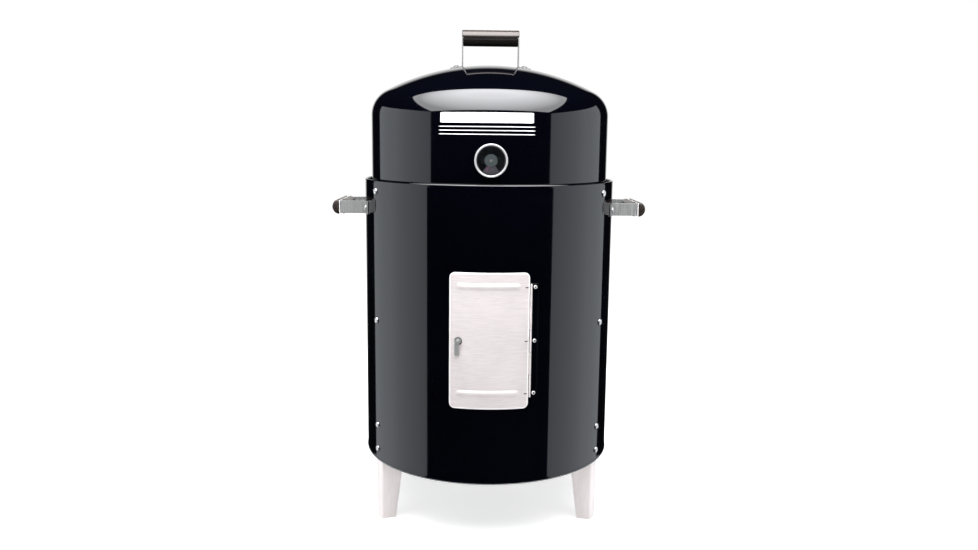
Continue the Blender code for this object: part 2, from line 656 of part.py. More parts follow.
def make_grill(name, seat_z, radius, parent):
    """A ring with bars from front to back, and cross bars under them."""
    low, high = seat_z, seat_z + GRILL_H
    ring_w = 0.005
    ring = [(radius - ring_w, low), (radius, low), (radius, high), (radius - ring_w, high)]
    bm = revolve(bmesh.new(), ring, 40)
    grill = place_object(name, to_mesh(bm, name, "bright_metal"), parent=parent)
    bars = bar_solids(bmesh.new(), radius, BAR_PITCH, BAR_W, low + 0.0012, high - 0.0004, 0, ring_w / 2)
    boolean(grill, bars, "UNION", "bars")
    turn, reach = math.pi / 2, ring_w / 2
    ties = bar_solids(bmesh.new(), radius, radius * 0.55, BAR_W, low + 0.0004, low + 0.0020, turn, reach)
    boolean(grill, ties, "UNION", "ties")


# ---------------------------------------------------------------- assembly


def main():
    for obj in list(bpy.data.objects):
        bpy.data.objects.remove(obj, do_unlink=True)
    make_body()
    for side, angle in STATIONS.items():
        make_leg(side, angle)
        make_bracket(f"upper_bracket_{side}", angle, UPPER_BOLT_Z, UPPER_SHELVES)
        make_bracket(f"lower_bracket_{side}", angle, LOWER_BOLT_Z, LOWER_SHELVES)
    bolt = fastener_mesh("body_bolt", BODY_BOLT)
    for name, frame in body_bolts():
        place_object(name, bolt, frame)
    small = fastener_mesh("handle_bolt", HANDLE_BOLT)
    for name, frame in side_handle_bolts():
        place_object(name, small, frame)
    make_side_handle("left", -1)
    make_side_handle("right", 1)

    door_pivot = pivot("door_pivot", Matrix.Translation(direction(HINGE_ANGLE) * HINGE_R))
    latch_pivot = pivot("latch_pivot", station_frame(LATCH_ANGLE, DOOR_IN_R, LATCH_Z))
    make_hinge(door_pivot)
    make_door(door_pivot)
    make_latch(latch_pivot)

    axis = {z: Matrix.Translation((0, 0, z)) for z in (LEG_TOP_Z, LID_Z)}
    lift = pivot("inner_lift", axis[LEG_TOP_Z])
    make_pan("charcoal_pan", LEG_TOP_Z + GAP, CHARCOAL_RIM_R, CHARCOAL_DEPTH, 0.016, 0.012, lift)
    make_pan("water_pan", LOWER_SHELVES[1][0] + GAP, WATER_RIM_R, WATER_DEPTH, 0.022, 0.007, lift)
    make_grill("lower_grill", LOWER_SHELVES[0][0] + GAP, LOWER_GRILL_R, lift)
    make_grill("upper_grill", UPPER_SHELVES[1][0] + GAP, UPPER_GRILL_R, lift)

    lid_pivot = pivot("lid_lift", axis[LID_Z])
    needle_pivot = pivot("needle_pivot", station_frame(0, LID_R, GAUGE_Z))
    make_lid(lid_pivot)
    make_lid_handle(lid_pivot)
    make_gauge(lid_pivot, needle_pivot)


main()
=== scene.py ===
"""The finished look of the vertical water smoker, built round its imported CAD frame.

Metres, +Z up, the front faces -Y. Angles round the barrel are in degrees, from the front towards the right.
"""

import json
import math

import bmesh
import bpy
from mathutils import Matrix, Vector


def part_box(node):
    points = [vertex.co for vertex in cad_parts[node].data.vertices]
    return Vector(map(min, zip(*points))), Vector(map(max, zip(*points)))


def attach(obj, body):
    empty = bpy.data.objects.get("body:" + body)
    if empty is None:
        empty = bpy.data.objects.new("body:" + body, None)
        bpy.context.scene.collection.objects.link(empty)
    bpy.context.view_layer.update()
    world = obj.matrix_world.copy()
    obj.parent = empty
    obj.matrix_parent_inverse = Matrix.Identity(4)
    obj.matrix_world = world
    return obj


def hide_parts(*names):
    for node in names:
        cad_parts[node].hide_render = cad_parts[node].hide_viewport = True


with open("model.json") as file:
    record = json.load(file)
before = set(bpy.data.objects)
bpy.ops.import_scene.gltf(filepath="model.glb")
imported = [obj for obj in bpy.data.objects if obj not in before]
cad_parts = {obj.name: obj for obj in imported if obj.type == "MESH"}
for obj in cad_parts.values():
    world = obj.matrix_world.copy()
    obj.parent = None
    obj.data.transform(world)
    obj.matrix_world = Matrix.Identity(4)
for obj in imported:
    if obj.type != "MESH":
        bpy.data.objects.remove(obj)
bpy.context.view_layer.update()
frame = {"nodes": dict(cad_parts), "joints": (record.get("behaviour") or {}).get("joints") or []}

# ---------------------------------------------------------------- sizes read from the frame

GAP = 0.0003
SKIN = 0.0012
SHEET = 0.0015

BODY_LOW, BODY_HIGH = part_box("smoker_body")
BODY_R = BODY_HIGH.x
PLANE_R = BODY_R - 0.0020
OPENING_HALF = 14.5
OPENING_CORNER = 0.006
OPENING_LOW = BODY_LOW.z + 0.134
OPENING_HIGH = BODY_LOW.z + 0.324

LID_LOW, LID_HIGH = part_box("dome_lid")
LID_HEM_R = LID_HIGH.x
LID_R = LID_HEM_R - 0.0029
SHOULDER_R = 0.045
SHOULDER_Z = LID_LOW.z + 0.1318
SHOULDER_CENTRE = LID_R - SHOULDER_R
RISE = LID_HIGH.z - SHOULDER_Z
CROWN_R = (SHOULDER_CENTRE**2 + RISE**2 - SHOULDER_R**2) / (2 * (RISE - SHOULDER_R))
CROWN_Z = LID_HIGH.z - CROWN_R

DOOR_LOW, DOOR_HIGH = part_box("fire_door")
DOOR_HALF = 16.65
DOOR_R = BODY_R + 0.0029
DOOR_CORNER = 0.0085
RIB_ENDS = (-13.4, 12.3)
HINGE_ANGLE = 17.25
HINGE_R = BODY_R + 0.0026
KNUCKLES = 5
KNUCKLE_R = 0.0016
KNUCKLE_BORE_R = 0.0010
BODY_LEAF_END = 20.5
DOOR_LEAF_END = 13.3
SCREW_ANGLE = 19.05
RIVET_ANGLE = 15.3
LATCH_ANGLE = -12.75

SIDE_BOLT_ANGLES = {"front": 73.5, "rear": 106.5}
LID_BOLT_X = 0.057
STRAP_FOOT = 0.010

JOINTS = {j["name"]: j for j in frame["joints"]}
STATIONS = {"left": -60.0, "right": 60.0, "rear": 180.0}


def direction(angle):
    """The outward unit vector at an angle round the barrel."""
    a = math.radians(angle)
    return Vector((math.sin(a), -math.cos(a), 0))


def station_frame(angle, radius, z):
    """A frame on the barrel whose X points along the wall, Y up and Z outward."""
    out, up = direction(angle), Vector((0, 0, 1))
    along = up.cross(out)
    return Matrix.Translation(out * radius + up * z) @ Matrix((along, up, out)).transposed().to_4x4()


def arc(cx, cy, r, start, end, steps):
    """Points on a circle from one angle to another, in degrees."""
    turn = [math.radians(start + (end - start) * i / steps) for i in range(steps + 1)]
    return [(cx + r * math.cos(a), cy + r * math.sin(a)) for a in turn]


# ---------------------------------------------------------------- materials


def srgb(*values):
    """Linear colour from 0-255 display values."""
    return tuple(((v / 255 + 0.055) / 1.055) ** 2.4 if v > 10 else v / 255 / 12.92 for v in values)


class Finish:
    """A Principled material whose colour, roughness and bump come from stretched noise."""

    def __init__(self, name, roughness, metallic=0.0, **sockets):
        self.material = bpy.data.materials.new(name)
        self.material.use_nodes = True
        self.tree = self.material.node_tree
        self.shader = self.tree.nodes["Principled BSDF"]
        self.shader.inputs["Roughness"].default_value = roughness
        self.shader.inputs["Metallic"].default_value = metallic
        for socket, value in sockets.items():
            self.shader.inputs[socket.replace("_", " ")].default_value = value
        self.coords = self.tree.nodes.new("ShaderNodeTexCoord").outputs["Object"]
        self.normal = None

    def node(self, kind, links=(), **values):
        made = self.tree.nodes.new(kind)
        for name, value in values.items():
            setattr(made, name, value)
        for socket, source in links:
            if isinstance(source, bpy.types.NodeSocket):
                self.tree.links.new(source, made.inputs[socket])
            else:
                made.inputs[socket].default_value = source
        return made

    def noise(self, scale, stretch=(1, 1, 1), detail=4.0, rough=0.55):
        grain = self.node("ShaderNodeMapping", [("Vector", self.coords), ("Scale", stretch)])
        links = [("Vector", grain.outputs["Vector"]), ("Scale", scale)]
        links += [("Detail", detail), ("Roughness", rough)]
        return self.node("ShaderNodeTexNoise", links).outputs["Fac"]

    def spread(self, value, low, high, start=0.3, end=0.7):
        """Map a noise value's middle range to a range of output values."""
        links = [("Value", value), ("From Min", start), ("From Max", end)]
        links += [("To Min", low), ("To Max", high)]
        return self.node("ShaderNodeMapRange", links).outputs["Result"]

    def blend(self, fac, first, second):
        made = self.node("ShaderNodeMix", data_type="RGBA")
        for socket, value in ((0, fac), (6, first), (7, second)):
            if isinstance(value, bpy.types.NodeSocket):
                self.tree.links.new(value, made.inputs[socket])
            else:
                made.inputs[socket].default_value = value if socket == 0 else (*value, 1.0)
        return made.outputs[2]

    def color(self, source):
        self.tree.links.new(source, self.shader.inputs["Base Color"])
        return self

    def roughness(self, source):
        self.tree.links.new(source, self.shader.inputs["Roughness"])
        return self

    def bump(self, height, strength, distance):
        links = [("Height", height), ("Strength", strength), ("Distance", distance)]
        if self.normal:
            links.append(("Normal", self.normal))
        self.normal = self.node("ShaderNodeBump", links).outputs["Normal"]
        self.tree.links.new(self.normal, self.shader.inputs["Normal"])
        return self


def enamel():
    """Gloss black porcelain enamel with a faint orange peel and a few duller patches."""
    f = Finish("black_enamel", 0.05, Specular_IOR_Level=1.0)
    f.color(f.blend(f.spread(f.noise(3.0), 0, 1), (0.0003, 0.0004, 0.0012), (0.0007, 0.0009, 0.0024)))
    f.roughness(f.spread(f.noise(9.0), 0.035, 0.075))
    return f.bump(f.noise(420.0, detail=1.0), 0.05, 0.00004).material


def galvanised(name, stretch, low, high):
    """Light galvanised sheet with rolling streaks."""
    f = Finish(name, 0.42, metallic=0.30)
    streaks = f.noise(6.0, stretch, detail=6.0, rough=0.65)
    cloud = f.noise(11.0, detail=3.0)
    shares = [(0, f.spread(streaks, 0, 0.65)), (1, f.spread(cloud, 0, 0.35))]
    both = f.node("ShaderNodeMath", shares, operation="ADD")
    f.color(f.blend(both.outputs[0], low, high))
    f.roughness(f.spread(streaks, 0.36, 0.50))
    return f.bump(streaks, 0.25, 0.00006).material


def zinc(name, low, high):
    """Satin grey zinc plate with fine drawing lines."""
    f = Finish(name, 0.34, metallic=0.40)
    lines = f.noise(10.0, (40, 40, 3), detail=5.0)
    f.color(f.blend(f.spread(lines, 0, 1), low, high))
    f.roughness(f.spread(f.noise(60.0), 0.28, 0.44))
    return f.bump(lines, 0.2, 0.00004).material


def bright(name="bright_plate", low=0.70, high=0.90, roughness=0.20, metallic=0.85):
    """Bright plated steel."""
    f = Finish(name, roughness, metallic=metallic)
    f.color(f.blend(f.spread(f.noise(30.0), 0, 1), (low, low, low * 1.01), (high, high, high * 0.99)))
    f.roughness(f.spread(f.noise(90.0), roughness * 0.8, roughness * 1.3))
    return f.bump(f.noise(700.0, detail=2.0), 0.06, 0.00003).material


def wood(name, stretch, coat=1.0, dark=(0.0045, 0.0036, 0.0034), light=(0.018, 0.0135, 0.0120)):
    """Dark stained wood with a long grain and fine pores under a satin lacquer."""
    f = Finish(name, 0.42, Specular_IOR_Level=0.5 * coat, Coat_Weight=coat, Coat_Roughness=0.30)
    f.shader.inputs["Coat Tint"].default_value = (1.0, 0.88, 0.78, 1.0)
    grain = f.noise(10.0, stretch, detail=7.0, rough=0.62)
    pores = f.noise(60.0, stretch, detail=2.0)
    f.color(f.blend(f.spread(grain, 0, 1, 0.35, 0.66), dark, light))
    f.roughness(f.spread(pores, 0.34, 0.55))
    f.bump(grain, 0.35, 0.00025)
    return f.bump(pores, 0.25, 0.00010).material


def printed(name, low, high, roughness=0.5, specular=0.5):
    """Printed or painted plastic with a slight mottle, also the dark material of the painted shade in
    recesses.
    """
    f = Finish(name, roughness, Specular_IOR_Level=specular)
    f.color(f.blend(f.spread(f.noise(80.0), 0, 1), low, high))
    f.roughness(f.spread(f.noise(200.0), roughness * 0.85, roughness * 1.15))
    return f.bump(f.noise(900.0, detail=1.0), 0.05, 0.00002).material


def glass():
    f = Finish("gauge_glass", 0.02, IOR=1.45, Transmission_Weight=1.0)
    f.color(f.blend(f.spread(f.noise(20.0), 0, 1), (0.95, 0.96, 0.96), (1.0, 1.0, 1.0)))
    return f.bump(f.noise(40.0, detail=1.0), 0.01, 0.00002).material


ENAMEL = enamel()
DOOR_STEEL = galvanised("galvanised_door", (7, 7, 130), (0.575, 0.528, 0.518), (0.785, 0.730, 0.718))
# Paler galvanised steel for painted highlights: the door's rolled edge, the screw heads and the strips by the
# side grips' straps.
PAINTED_HIGHLIGHT_STEEL = galvanised("galvanised_painted_highlight", (5, 5, 40), (0.86, 0.845, 0.83), (0.97, 0.96, 0.95))
LEG_STEEL = galvanised("galvanised_leg", (60, 60, 6), (0.84, 0.775, 0.76), (0.97, 0.91, 0.895))
ZINC = zinc("zinc_plate", srgb(128, 130, 129), srgb(158, 159, 157))
# A darker copy of the zinc plate: painted shade on the lid handle's strap and bolts.
SHADED_ZINC = zinc("zinc_plate_painted_shade", srgb(94, 94, 94), srgb(122, 121, 120))
BRIGHT = bright()
CHROME = bright("grill_chrome", 0.55, 0.72, 0.24, 1.0)
BEZEL = bright("gauge_bezel", 0.42, 0.52, 0.30, 0.45)
WOOD_ALONG_X = wood("grip_wood_x", (3, 40, 40))
WOOD_ALONG_Y = wood("grip_wood_y", (40, 3, 40))
# A darker copy of the grip wood: painted shade for the lid grip's underside and for the strips beside its
# strap.
WOOD_PAINTED_SHADE = wood("grip_wood_painted_shade", (3, 40, 40), 0.05, (0.0022, 0.0017, 0.0017), (0.0070, 0.0055, 0.0050))
# Painted shade: one dark material for the screw recesses, the rivet slots and the latch collar.
RECESS_SHADE = printed("painted_recess_shade", srgb(12, 12, 14), srgb(22, 22, 24), 0.6, 0.2)
DIAL_BLACK = printed("dial_black", srgb(2, 3, 6), srgb(6, 9, 14), 0.6, 0.1)
DIAL_GREY = printed("dial_grey", srgb(84, 92, 94), srgb(104, 112, 112), 0.6, 0.1)
DIAL_MARKS = printed("dial_marks", srgb(26, 32, 36), srgb(40, 46, 50), 0.6, 0.1)
DIAL_WEDGE = printed("dial_wedge", srgb(66, 62, 70), srgb(86, 84, 90), 0.6, 0.1)
LABEL_WHITE = printed("label_white", srgb(232, 232, 230), srgb(242, 242, 240), 0.35)
NEEDLE_PAINT = printed("needle_paint", srgb(104, 44, 84), srgb(128, 60, 104), 0.45, 0.2)
GLASS = glass()


# ---------------------------------------------------------------- mesh tools


def revolve(bm, profile, sides, turn_frame=None):
    """Turn a profile of (radius, height) about a frame's Z. Off the axis at both ends it closes on itself."""
    turn_frame = turn_frame or Matrix.Identity(4)
    rings = []
    for r, z in profile:
        count = sides if r > 1e-7 else 1
        turn = [2 * math.pi * k / count for k in range(count)]
        points = [Vector((r * math.sin(a), -r * math.cos(a), z)) for a in turn]
        rings.append([bm.verts.new(turn_frame @ point) for point in points])
    pairs = list(zip(rings, rings[1:]))
    if len(rings[0]) > 1:
        pairs.append((rings[-1], rings[0]))
    for low, high in pairs:
        for k in range(sides):
            n = (k + 1) % sides
            corners = [low[k % len(low)], low[n % len(low)], high[n % len(high)], high[k % len(high)]]
            bm.faces.new(list(dict.fromkeys(corners)))
    return bm


def loft(bm, loops, closed=False):
    """Join loops of equal length into a tube, capped at both ends unless it closes on itself."""
    rings = [[bm.verts.new(p) for p in loop] for loop in loops]
    pairs = list(zip(rings, rings[1:])) + ([(rings[-1], rings[0])] if closed else [])
    for low, high in pairs:
        for k in range(len(low)):
            n = (k + 1) % len(low)
            bm.faces.new([low[k], low[n], high[n], high[k]])
    if not closed:
        bm.faces.new(rings[0])
        bm.faces.new(rings[-1])
    return bm


def prism(bm, outline, low, high, place=None):
    """An outline in a frame's XY, from one Z to another."""
    place = place or Matrix.Identity(4)
    return loft(bm, [[place @ Vector((x, y, z)) for x, y in outline] for z in (low, high)])


def hexagon(radius):
    """The corners of a hex nut."""
    return arc(0, 0, radius, 0, 300, 5)


def round_corners(points, radius, steps=6):
    """Replace each inner corner of an open path with an arc."""
    points = [Vector(p) for p in points]
    path = [points[0]]
    for before, here, after in zip(points, points[1:], points[2:]):
        back, on = (before - here).normalized(), (after - here).normalized()
        half = back.angle(on) / 2
        reach = radius / math.tan(half)
        centre = here + (back + on).normalized() * radius / math.sin(half)
        start, end = here + back * reach - centre, here + on * reach - centre
        turn = start.angle_signed(end)
        path += [centre + Matrix.Rotation(-turn * i / steps, 2) @ start for i in range(steps + 1)]
    return path + [points[-1]]


def strip_outline(path, thickness):
    """The closed outline of a bent strip that follows a path."""
    left, right = [], []
    for i, here in enumerate(path):
        legs = [path[j + 1] - path[j] for j in (i - 1, i) if 0 <= j < len(path) - 1]
        sides = [Vector((-leg.y, leg.x)).normalized() for leg in legs]
        side = sum(sides, Vector((0, 0))).normalized()
        side *= thickness / 2 / side.dot(sides[0])
        left.append(here + side)
        right.append(here - side)
    return [(p.x, p.y) for p in left + right[::-1]]


def tube(bm, path, r, sides=12, closed=False):
    """A round wire along a path in one plane or straight."""
    loops = []
    last = len(path) - 1
    for i, here in enumerate(path):
        before = path[i - 1] if closed or i else here
        after = path[(i + 1) % len(path)] if closed or i < last else here
        run = (after - before).normalized()
        across = run.cross(Vector((0, 0, 1))).normalized()
        up = across.cross(run)
        turn = [2 * math.pi * k / sides for k in range(sides)]
        loops.append([here + across * r * math.cos(a) + up * r * math.sin(a) for a in turn])
    return loft(bm, loops, closed)


def finished(bm, name, material, bevel=0.0, angle=35):
    """Turn a bmesh into a smooth-shaded object, and round its edges if it has a bevel."""
    bmesh.ops.recalc_face_normals(bm, faces=bm.faces)
    mesh = bpy.data.meshes.new(name)
    bm.to_mesh(mesh)
    bm.free()
    mesh.materials.append(material)
    mesh.shade_smooth()
    mesh.set_sharp_from_angle(angle=math.radians(angle))
    obj = bpy.data.objects.new(name, mesh)
    bpy.context.scene.collection.objects.link(obj)
    if bevel:
        round_off = obj.modifiers.new("edges", "BEVEL")
        round_off.width = bevel
        round_off.segments = 3
        round_off.limit_method = "ANGLE"
        round_off.angle_limit = math.radians(angle)
        round_off.harden_normals = True
    return obj


def fit(obj, body, slot, *nodes):
    """Ride a piece on its body and hide the CAD nodes it stands for. The slot is not used."""
    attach(obj, body)
    if nodes:
        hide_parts(*nodes)
    return obj


# ---------------------------------------------------------------- barrel


def opening_inset(angle):
    """How far a rounded corner of the door opening has closed in at an angle."""
    reach = math.degrees(OPENING_CORNER / BODY_R)
    past = max(0.0, (abs(angle) - OPENING_HALF + reach) / reach)
    return OPENING_CORNER * (1 - math.sqrt(max(0.0, 1 - min(past, 1.0) ** 2)))


def barrel_columns():
    """Angles of the barrel's columns: even, and finer along the opening's rounded corners."""
    reach = math.degrees(OPENING_CORNER / BODY_R)
    turns = [math.sin(math.radians(a)) for a in range(0, 91, 15)]
    special = [s * (OPENING_HALF - reach + reach * turn) for s in (-1, 1) for turn in turns]
    even = [-180 + 1.5 * k for k in range(240)]
    near = [a for a in even if min(abs(a - s) for s in special) > 0.5]
    return sorted(near + special)


def make_barrel():
    """The wall with a rolled bead, a hemmed foot and the door opening left out."""
    r, t, z0, z1 = BODY_R, SKIN, BODY_LOW.z, BODY_HIGH.z
    bead = arc(r - 0.0018, z1 - 0.0021, 0.0021, -35, 235, 14)
    hem = [(r - t, z0 + 0.0006), (r - t + 0.0004, z0), (r, z0), (r + 0.0005, z0 + 0.0005)]
    hem += [(r + 0.0005, z0 + 0.0036), (r, z0 + 0.0045), (r, z0 + 0.0050), (r, z0 + 0.0060)]
    bm = bmesh.new()
    columns = []
    for angle in barrel_columns():
        inset = opening_inset(angle) if abs(angle) < OPENING_HALF + 1e-6 else OPENING_CORNER
        low, high = OPENING_LOW + inset, OPENING_HIGH - inset
        neck = [(r, z1 - 0.0062), (r, z1 - 0.0052), (r, z1 - 0.0046)]
        ring = hem + [(r, low), (r, high)] + neck + bead + [(r - t, high), (r - t, low)]
        out = direction(angle)
        columns.append((angle, [bm.verts.new(out * x + Vector((0, 0, z))) for x, z in ring]))
    low_out = len(hem)
    high_in = len(columns[0][1]) - 2
    for (a, here), (b, there) in zip(columns, columns[1:] + columns[:1]):
        open_here = abs(a) < OPENING_HALF + 1e-6 and abs(b) < OPENING_HALF + 1e-6
        for k in range(len(here)):
            if open_here and k in (low_out, high_in):
                continue
            n = (k + 1) % len(here)
            bm.faces.new([here[k], there[k], there[n], here[n]])
        if open_here:
            bm.faces.new([here[low_out], there[low_out], there[-1], here[-1]])
            bm.faces.new([here[low_out + 1], there[low_out + 1], there[high_in], here[high_in]])
    for angle, ring in columns:
        if abs(abs(angle) - OPENING_HALF) < 1e-6:
            bm.faces.new([ring[low_out], ring[low_out + 1], ring[high_in], ring[-1]])
    fit(finished(bm, "barrel", ENAMEL), "smoker", "gloss_black_enamel", "smoker_body")
    # A zinc ring round the barrel's foot: a painted reflection along the black hem.
    curl = [(r - 0.0002 + x, z0 + 0.0010 + y) for x, y in arc(0, 0, 0.0010, 0, 345, 23)]
    fit(finished(revolve(bmesh.new(), curl, 240), "barrel_foot_painted_reflection", ZINC), "smoker", "gloss_black_enamel")


def channel_loop(width, depth, place, z):
    """One level of a leg's channel, with its bends rounded, mouth inward."""
    spread = depth * math.tan(math.radians(12))
    half = width / 2 - SHEET / 2
    path = [(half + spread, -depth), (half, -SHEET / 2), (-half, -SHEET / 2), (-half - spread, -depth)]
    outline = strip_outline(round_corners(path, 0.0020, 5), SHEET)
    return [place @ Vector((x, z, y)) for x, y in outline]


def make_leg(side, angle):
    """A tapered channel with a flat foot."""
    low, high = (corner.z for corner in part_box(f"leg_{side}"))
    place = station_frame(angle, PLANE_R, 0)
    levels = [(low, 0.020, 0.023), (BODY_LOW.z, 0.024, 0.036), (high, 0.024, 0.036)]
    bm = loft(bmesh.new(), [channel_loop(w, d, place, z) for z, w, d in levels])
    flat = place @ Matrix.Rotation(math.radians(90), 4, "X")
    half = 0.0088
    spread = 0.019 * math.tan(math.radians(12))
    foot = [(-half, -0.0012), (half, -0.0012), (half + spread, -0.019), (-half - spread, -0.019)]
    prism(bm, foot, 0, -SHEET, flat)
    fit(finished(bm, f"leg_{side}_channel", LEG_STEEL, 0.0003), "smoker", "galvanised_sheet", f"leg_{side}")


BODY_BOLT = {"head_r": 0.0055, "head_h": 0.0032, "shank_r": 0.0029}
BODY_BOLT |= {"clamp": 0.0041, "nut_r": 0.0050, "nut_h": 0.0026}
HANDLE_BOLT = {"head_r": 0.0048, "head_h": 0.0028, "shank_r": 0.0024}
HANDLE_BOLT |= {"clamp": 0.0043, "nut_r": 0.0044, "nut_h": 0.0024}


def domed_fastener(name, head_r, head_h, shank_r, clamp, nut_r, nut_h, material=BRIGHT):
    """A domed head on a thin flange, with its shank and a hex nut behind."""
    dome = arc(0, 0, 1, 90, 0, 9)
    head = [(0.0, head_h)] + [(head_r * x, 0.0004 + (head_h - 0.0004) * y) for x, y in dome][1:]
    end = -clamp - nut_h - 0.001
    head += [(head_r, 0.0), (shank_r, 0.0), (shank_r, end), (0.0, end)]
    bm = revolve(bmesh.new(), head, 28)
    prism(bm, hexagon(nut_r), -clamp - nut_h, -clamp)
    return finished(bm, name, material, 0.00025)


def paint_recess_shade(bm, z, radius):
    """Give the faces of a recess near a fastener's axis the second material, its painted shade."""
    for face in bm.faces:
        middle = face.calc_center_median()
        if middle.z > z and math.hypot(middle.x, middle.y) < radius:
            face.material_index = 1


def pan_screw(name):
    """A pan head screw, its head in the pale steel of the painted highlights and its round recess painted
    dark as shade.
    """
    head = [(0.0, 0.0004), (0.0012, 0.0005), (0.0016, 0.0016), (0.0021, 0.0016), (0.0026, 0.0011)]
    head += [(0.0028, 0.0004), (0.0028, 0.0), (0.0015, 0.0), (0.0015, -0.0052), (0.0, -0.0052)]
    bm = revolve(bmesh.new(), head, 24)
    paint_recess_shade(bm, 0.0003, 0.0015)
    prism(bm, hexagon(0.0027), -0.0052, -0.0035)
    obj = finished(bm, name, PAINTED_HIGHLIGHT_STEEL, 0.0001)
    obj.data.materials.append(RECESS_SHADE)
    return obj


def slotted_rivet(name):
    """A low rivet with a dark slot along the wall, the slot's dark a painted shade."""
    dome = [(0.0018 * x, 0.0006 * y) for x, y in arc(0, 0, 1, 90, 0, 6)]
    shank = [(0.0011, 0.0), (0.0011, -0.0016), (0.0, -0.0016)]
    bm = revolve(bmesh.new(), [(0.0, 0.0006)] + dome[1:] + shank, 20)
    plain = len(bm.faces)
    # The slot is a thin dark strip standing proud of the dome: painted shade.
    slot = [(-0.0023, -0.0007), (0.0023, -0.0007), (0.0023, 0.0007), (-0.0023, 0.0007)]
    prism(bm, slot, 0.0001, 0.00075)
    bm.faces.ensure_lookup_table()
    for face in list(bm.faces)[plain:]:
        face.material_index = 1
    obj = finished(bm, name, DOOR_STEEL)
    obj.data.materials.append(RECESS_SHADE)
    return obj


def copy_at(first, name, place):
    """A copy of a piece at another frame, sharing its mesh."""
    again = first.copy()
    again.name = name
    bpy.context.scene.collection.objects.link(again)
    again.matrix_world = place
    return again


def bolt_rows():
    """Each body bolt's node with its frame, head seated on the wall."""
    for kind in ("upper_bracket_bolt", "lower_bracket_bolt", "leg_upper_bolt", "leg_lower_bolt"):
        for side, angle in STATIONS.items():
            node = f"{kind}_{side}"
            low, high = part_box(node)
            yield node, station_frame(angle, BODY_R + GAP, (low.z + high.z) / 2)


def make_body_bolts():
    first = domed_fastener("body_bolt", **BODY_BOLT)
    for node, place in bolt_rows():
        fit(copy_at(first, f"{node}_domed", place), "smoker", "bright_plate", node)
    bpy.data.objects.remove(first)


def make_handle_bolts():
    """The side handles' bolts through the barrel, and the lid handle's through its crown."""
    first = domed_fastener("handle_bolt", **HANDLE_BOLT)
    seat = BODY_R + 2 * GAP + 0.0020
    for side, sign in (("left", -1), ("right", 1)):
        for end, angle in SIDE_BOLT_ANGLES.items():
            node = f"handle_bolt_{side}_{end}"
            low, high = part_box(node)
            place = station_frame(sign * angle, seat, (low.z + high.z) / 2)
            fit(copy_at(first, f"{node}_domed", place), "smoker", "bright_plate", node)
    bpy.data.objects.remove(first)
    first = domed_fastener("lid_bolt", **HANDLE_BOLT, material=SHADED_ZINC)
    lean = math.asin(LID_BOLT_X / CROWN_R)
    seat = Matrix.Translation((0, 0, CROWN_R + 2 * GAP + 0.0018))
    for side, sign in (("left", -1), ("right", 1)):
        node = f"lid_handle_bolt_{side}"
        turn = Matrix.Rotation(sign * lean, 4, "Y") @ seat
        place = Matrix.Translation((0, 0, CROWN_Z)) @ turn
        fit(copy_at(first, f"{node}_domed", place), "lid", "bright_plate", node)
    bpy.data.objects.remove(first)


# ---------------------------------------------------------------- handles


def grip(name, material, section, length, place, end_round=0.0035):
    """A bar with its ends rounded over. Its cross-section is a function of the inset."""
    loops = []
    turns = [math.radians(a) for a in (0, 22, 45, 68, 90)]
    ease = [(end_round * (1 - math.cos(a)), end_round * (1 - math.sin(a))) for a in turns]
    stations = [(-length / 2 + along, inset) for along, inset in ease]
    steps = 10
    inner = length - 2 * end_round
    stations += [(-inner / 2 + inner * k / steps, 0.0) for k in range(1, steps)]
    stations += [(-z, inset) for z, inset in stations[: len(turns)][::-1]]
    for z, inset in stations:
        loops.append([place @ Vector((x, y, z)) for x, y in section(inset)])
    return finished(loft(bmesh.new(), loops), name, material, 0, 50)


def half_round(width, height, base, sign):
    """A half-round section on a flat face, its lower corners eased, as a function of an inset."""
    half_circle = arc(0, 0, 1, 0, 180, 24)
    side, corner = 0.0012, 0.0010

    def section(inset):
        w, h, lift = width / 2 - inset * 0.8, height - inset, inset * 0.4
        bulge = [(w * x, base + sign * (side + lift + (h - side) * y)) for x, y in half_circle]
        foot = [(-w + corner, base + sign * lift), (w - corner, base + sign * lift)]
        return bulge + foot

    return section


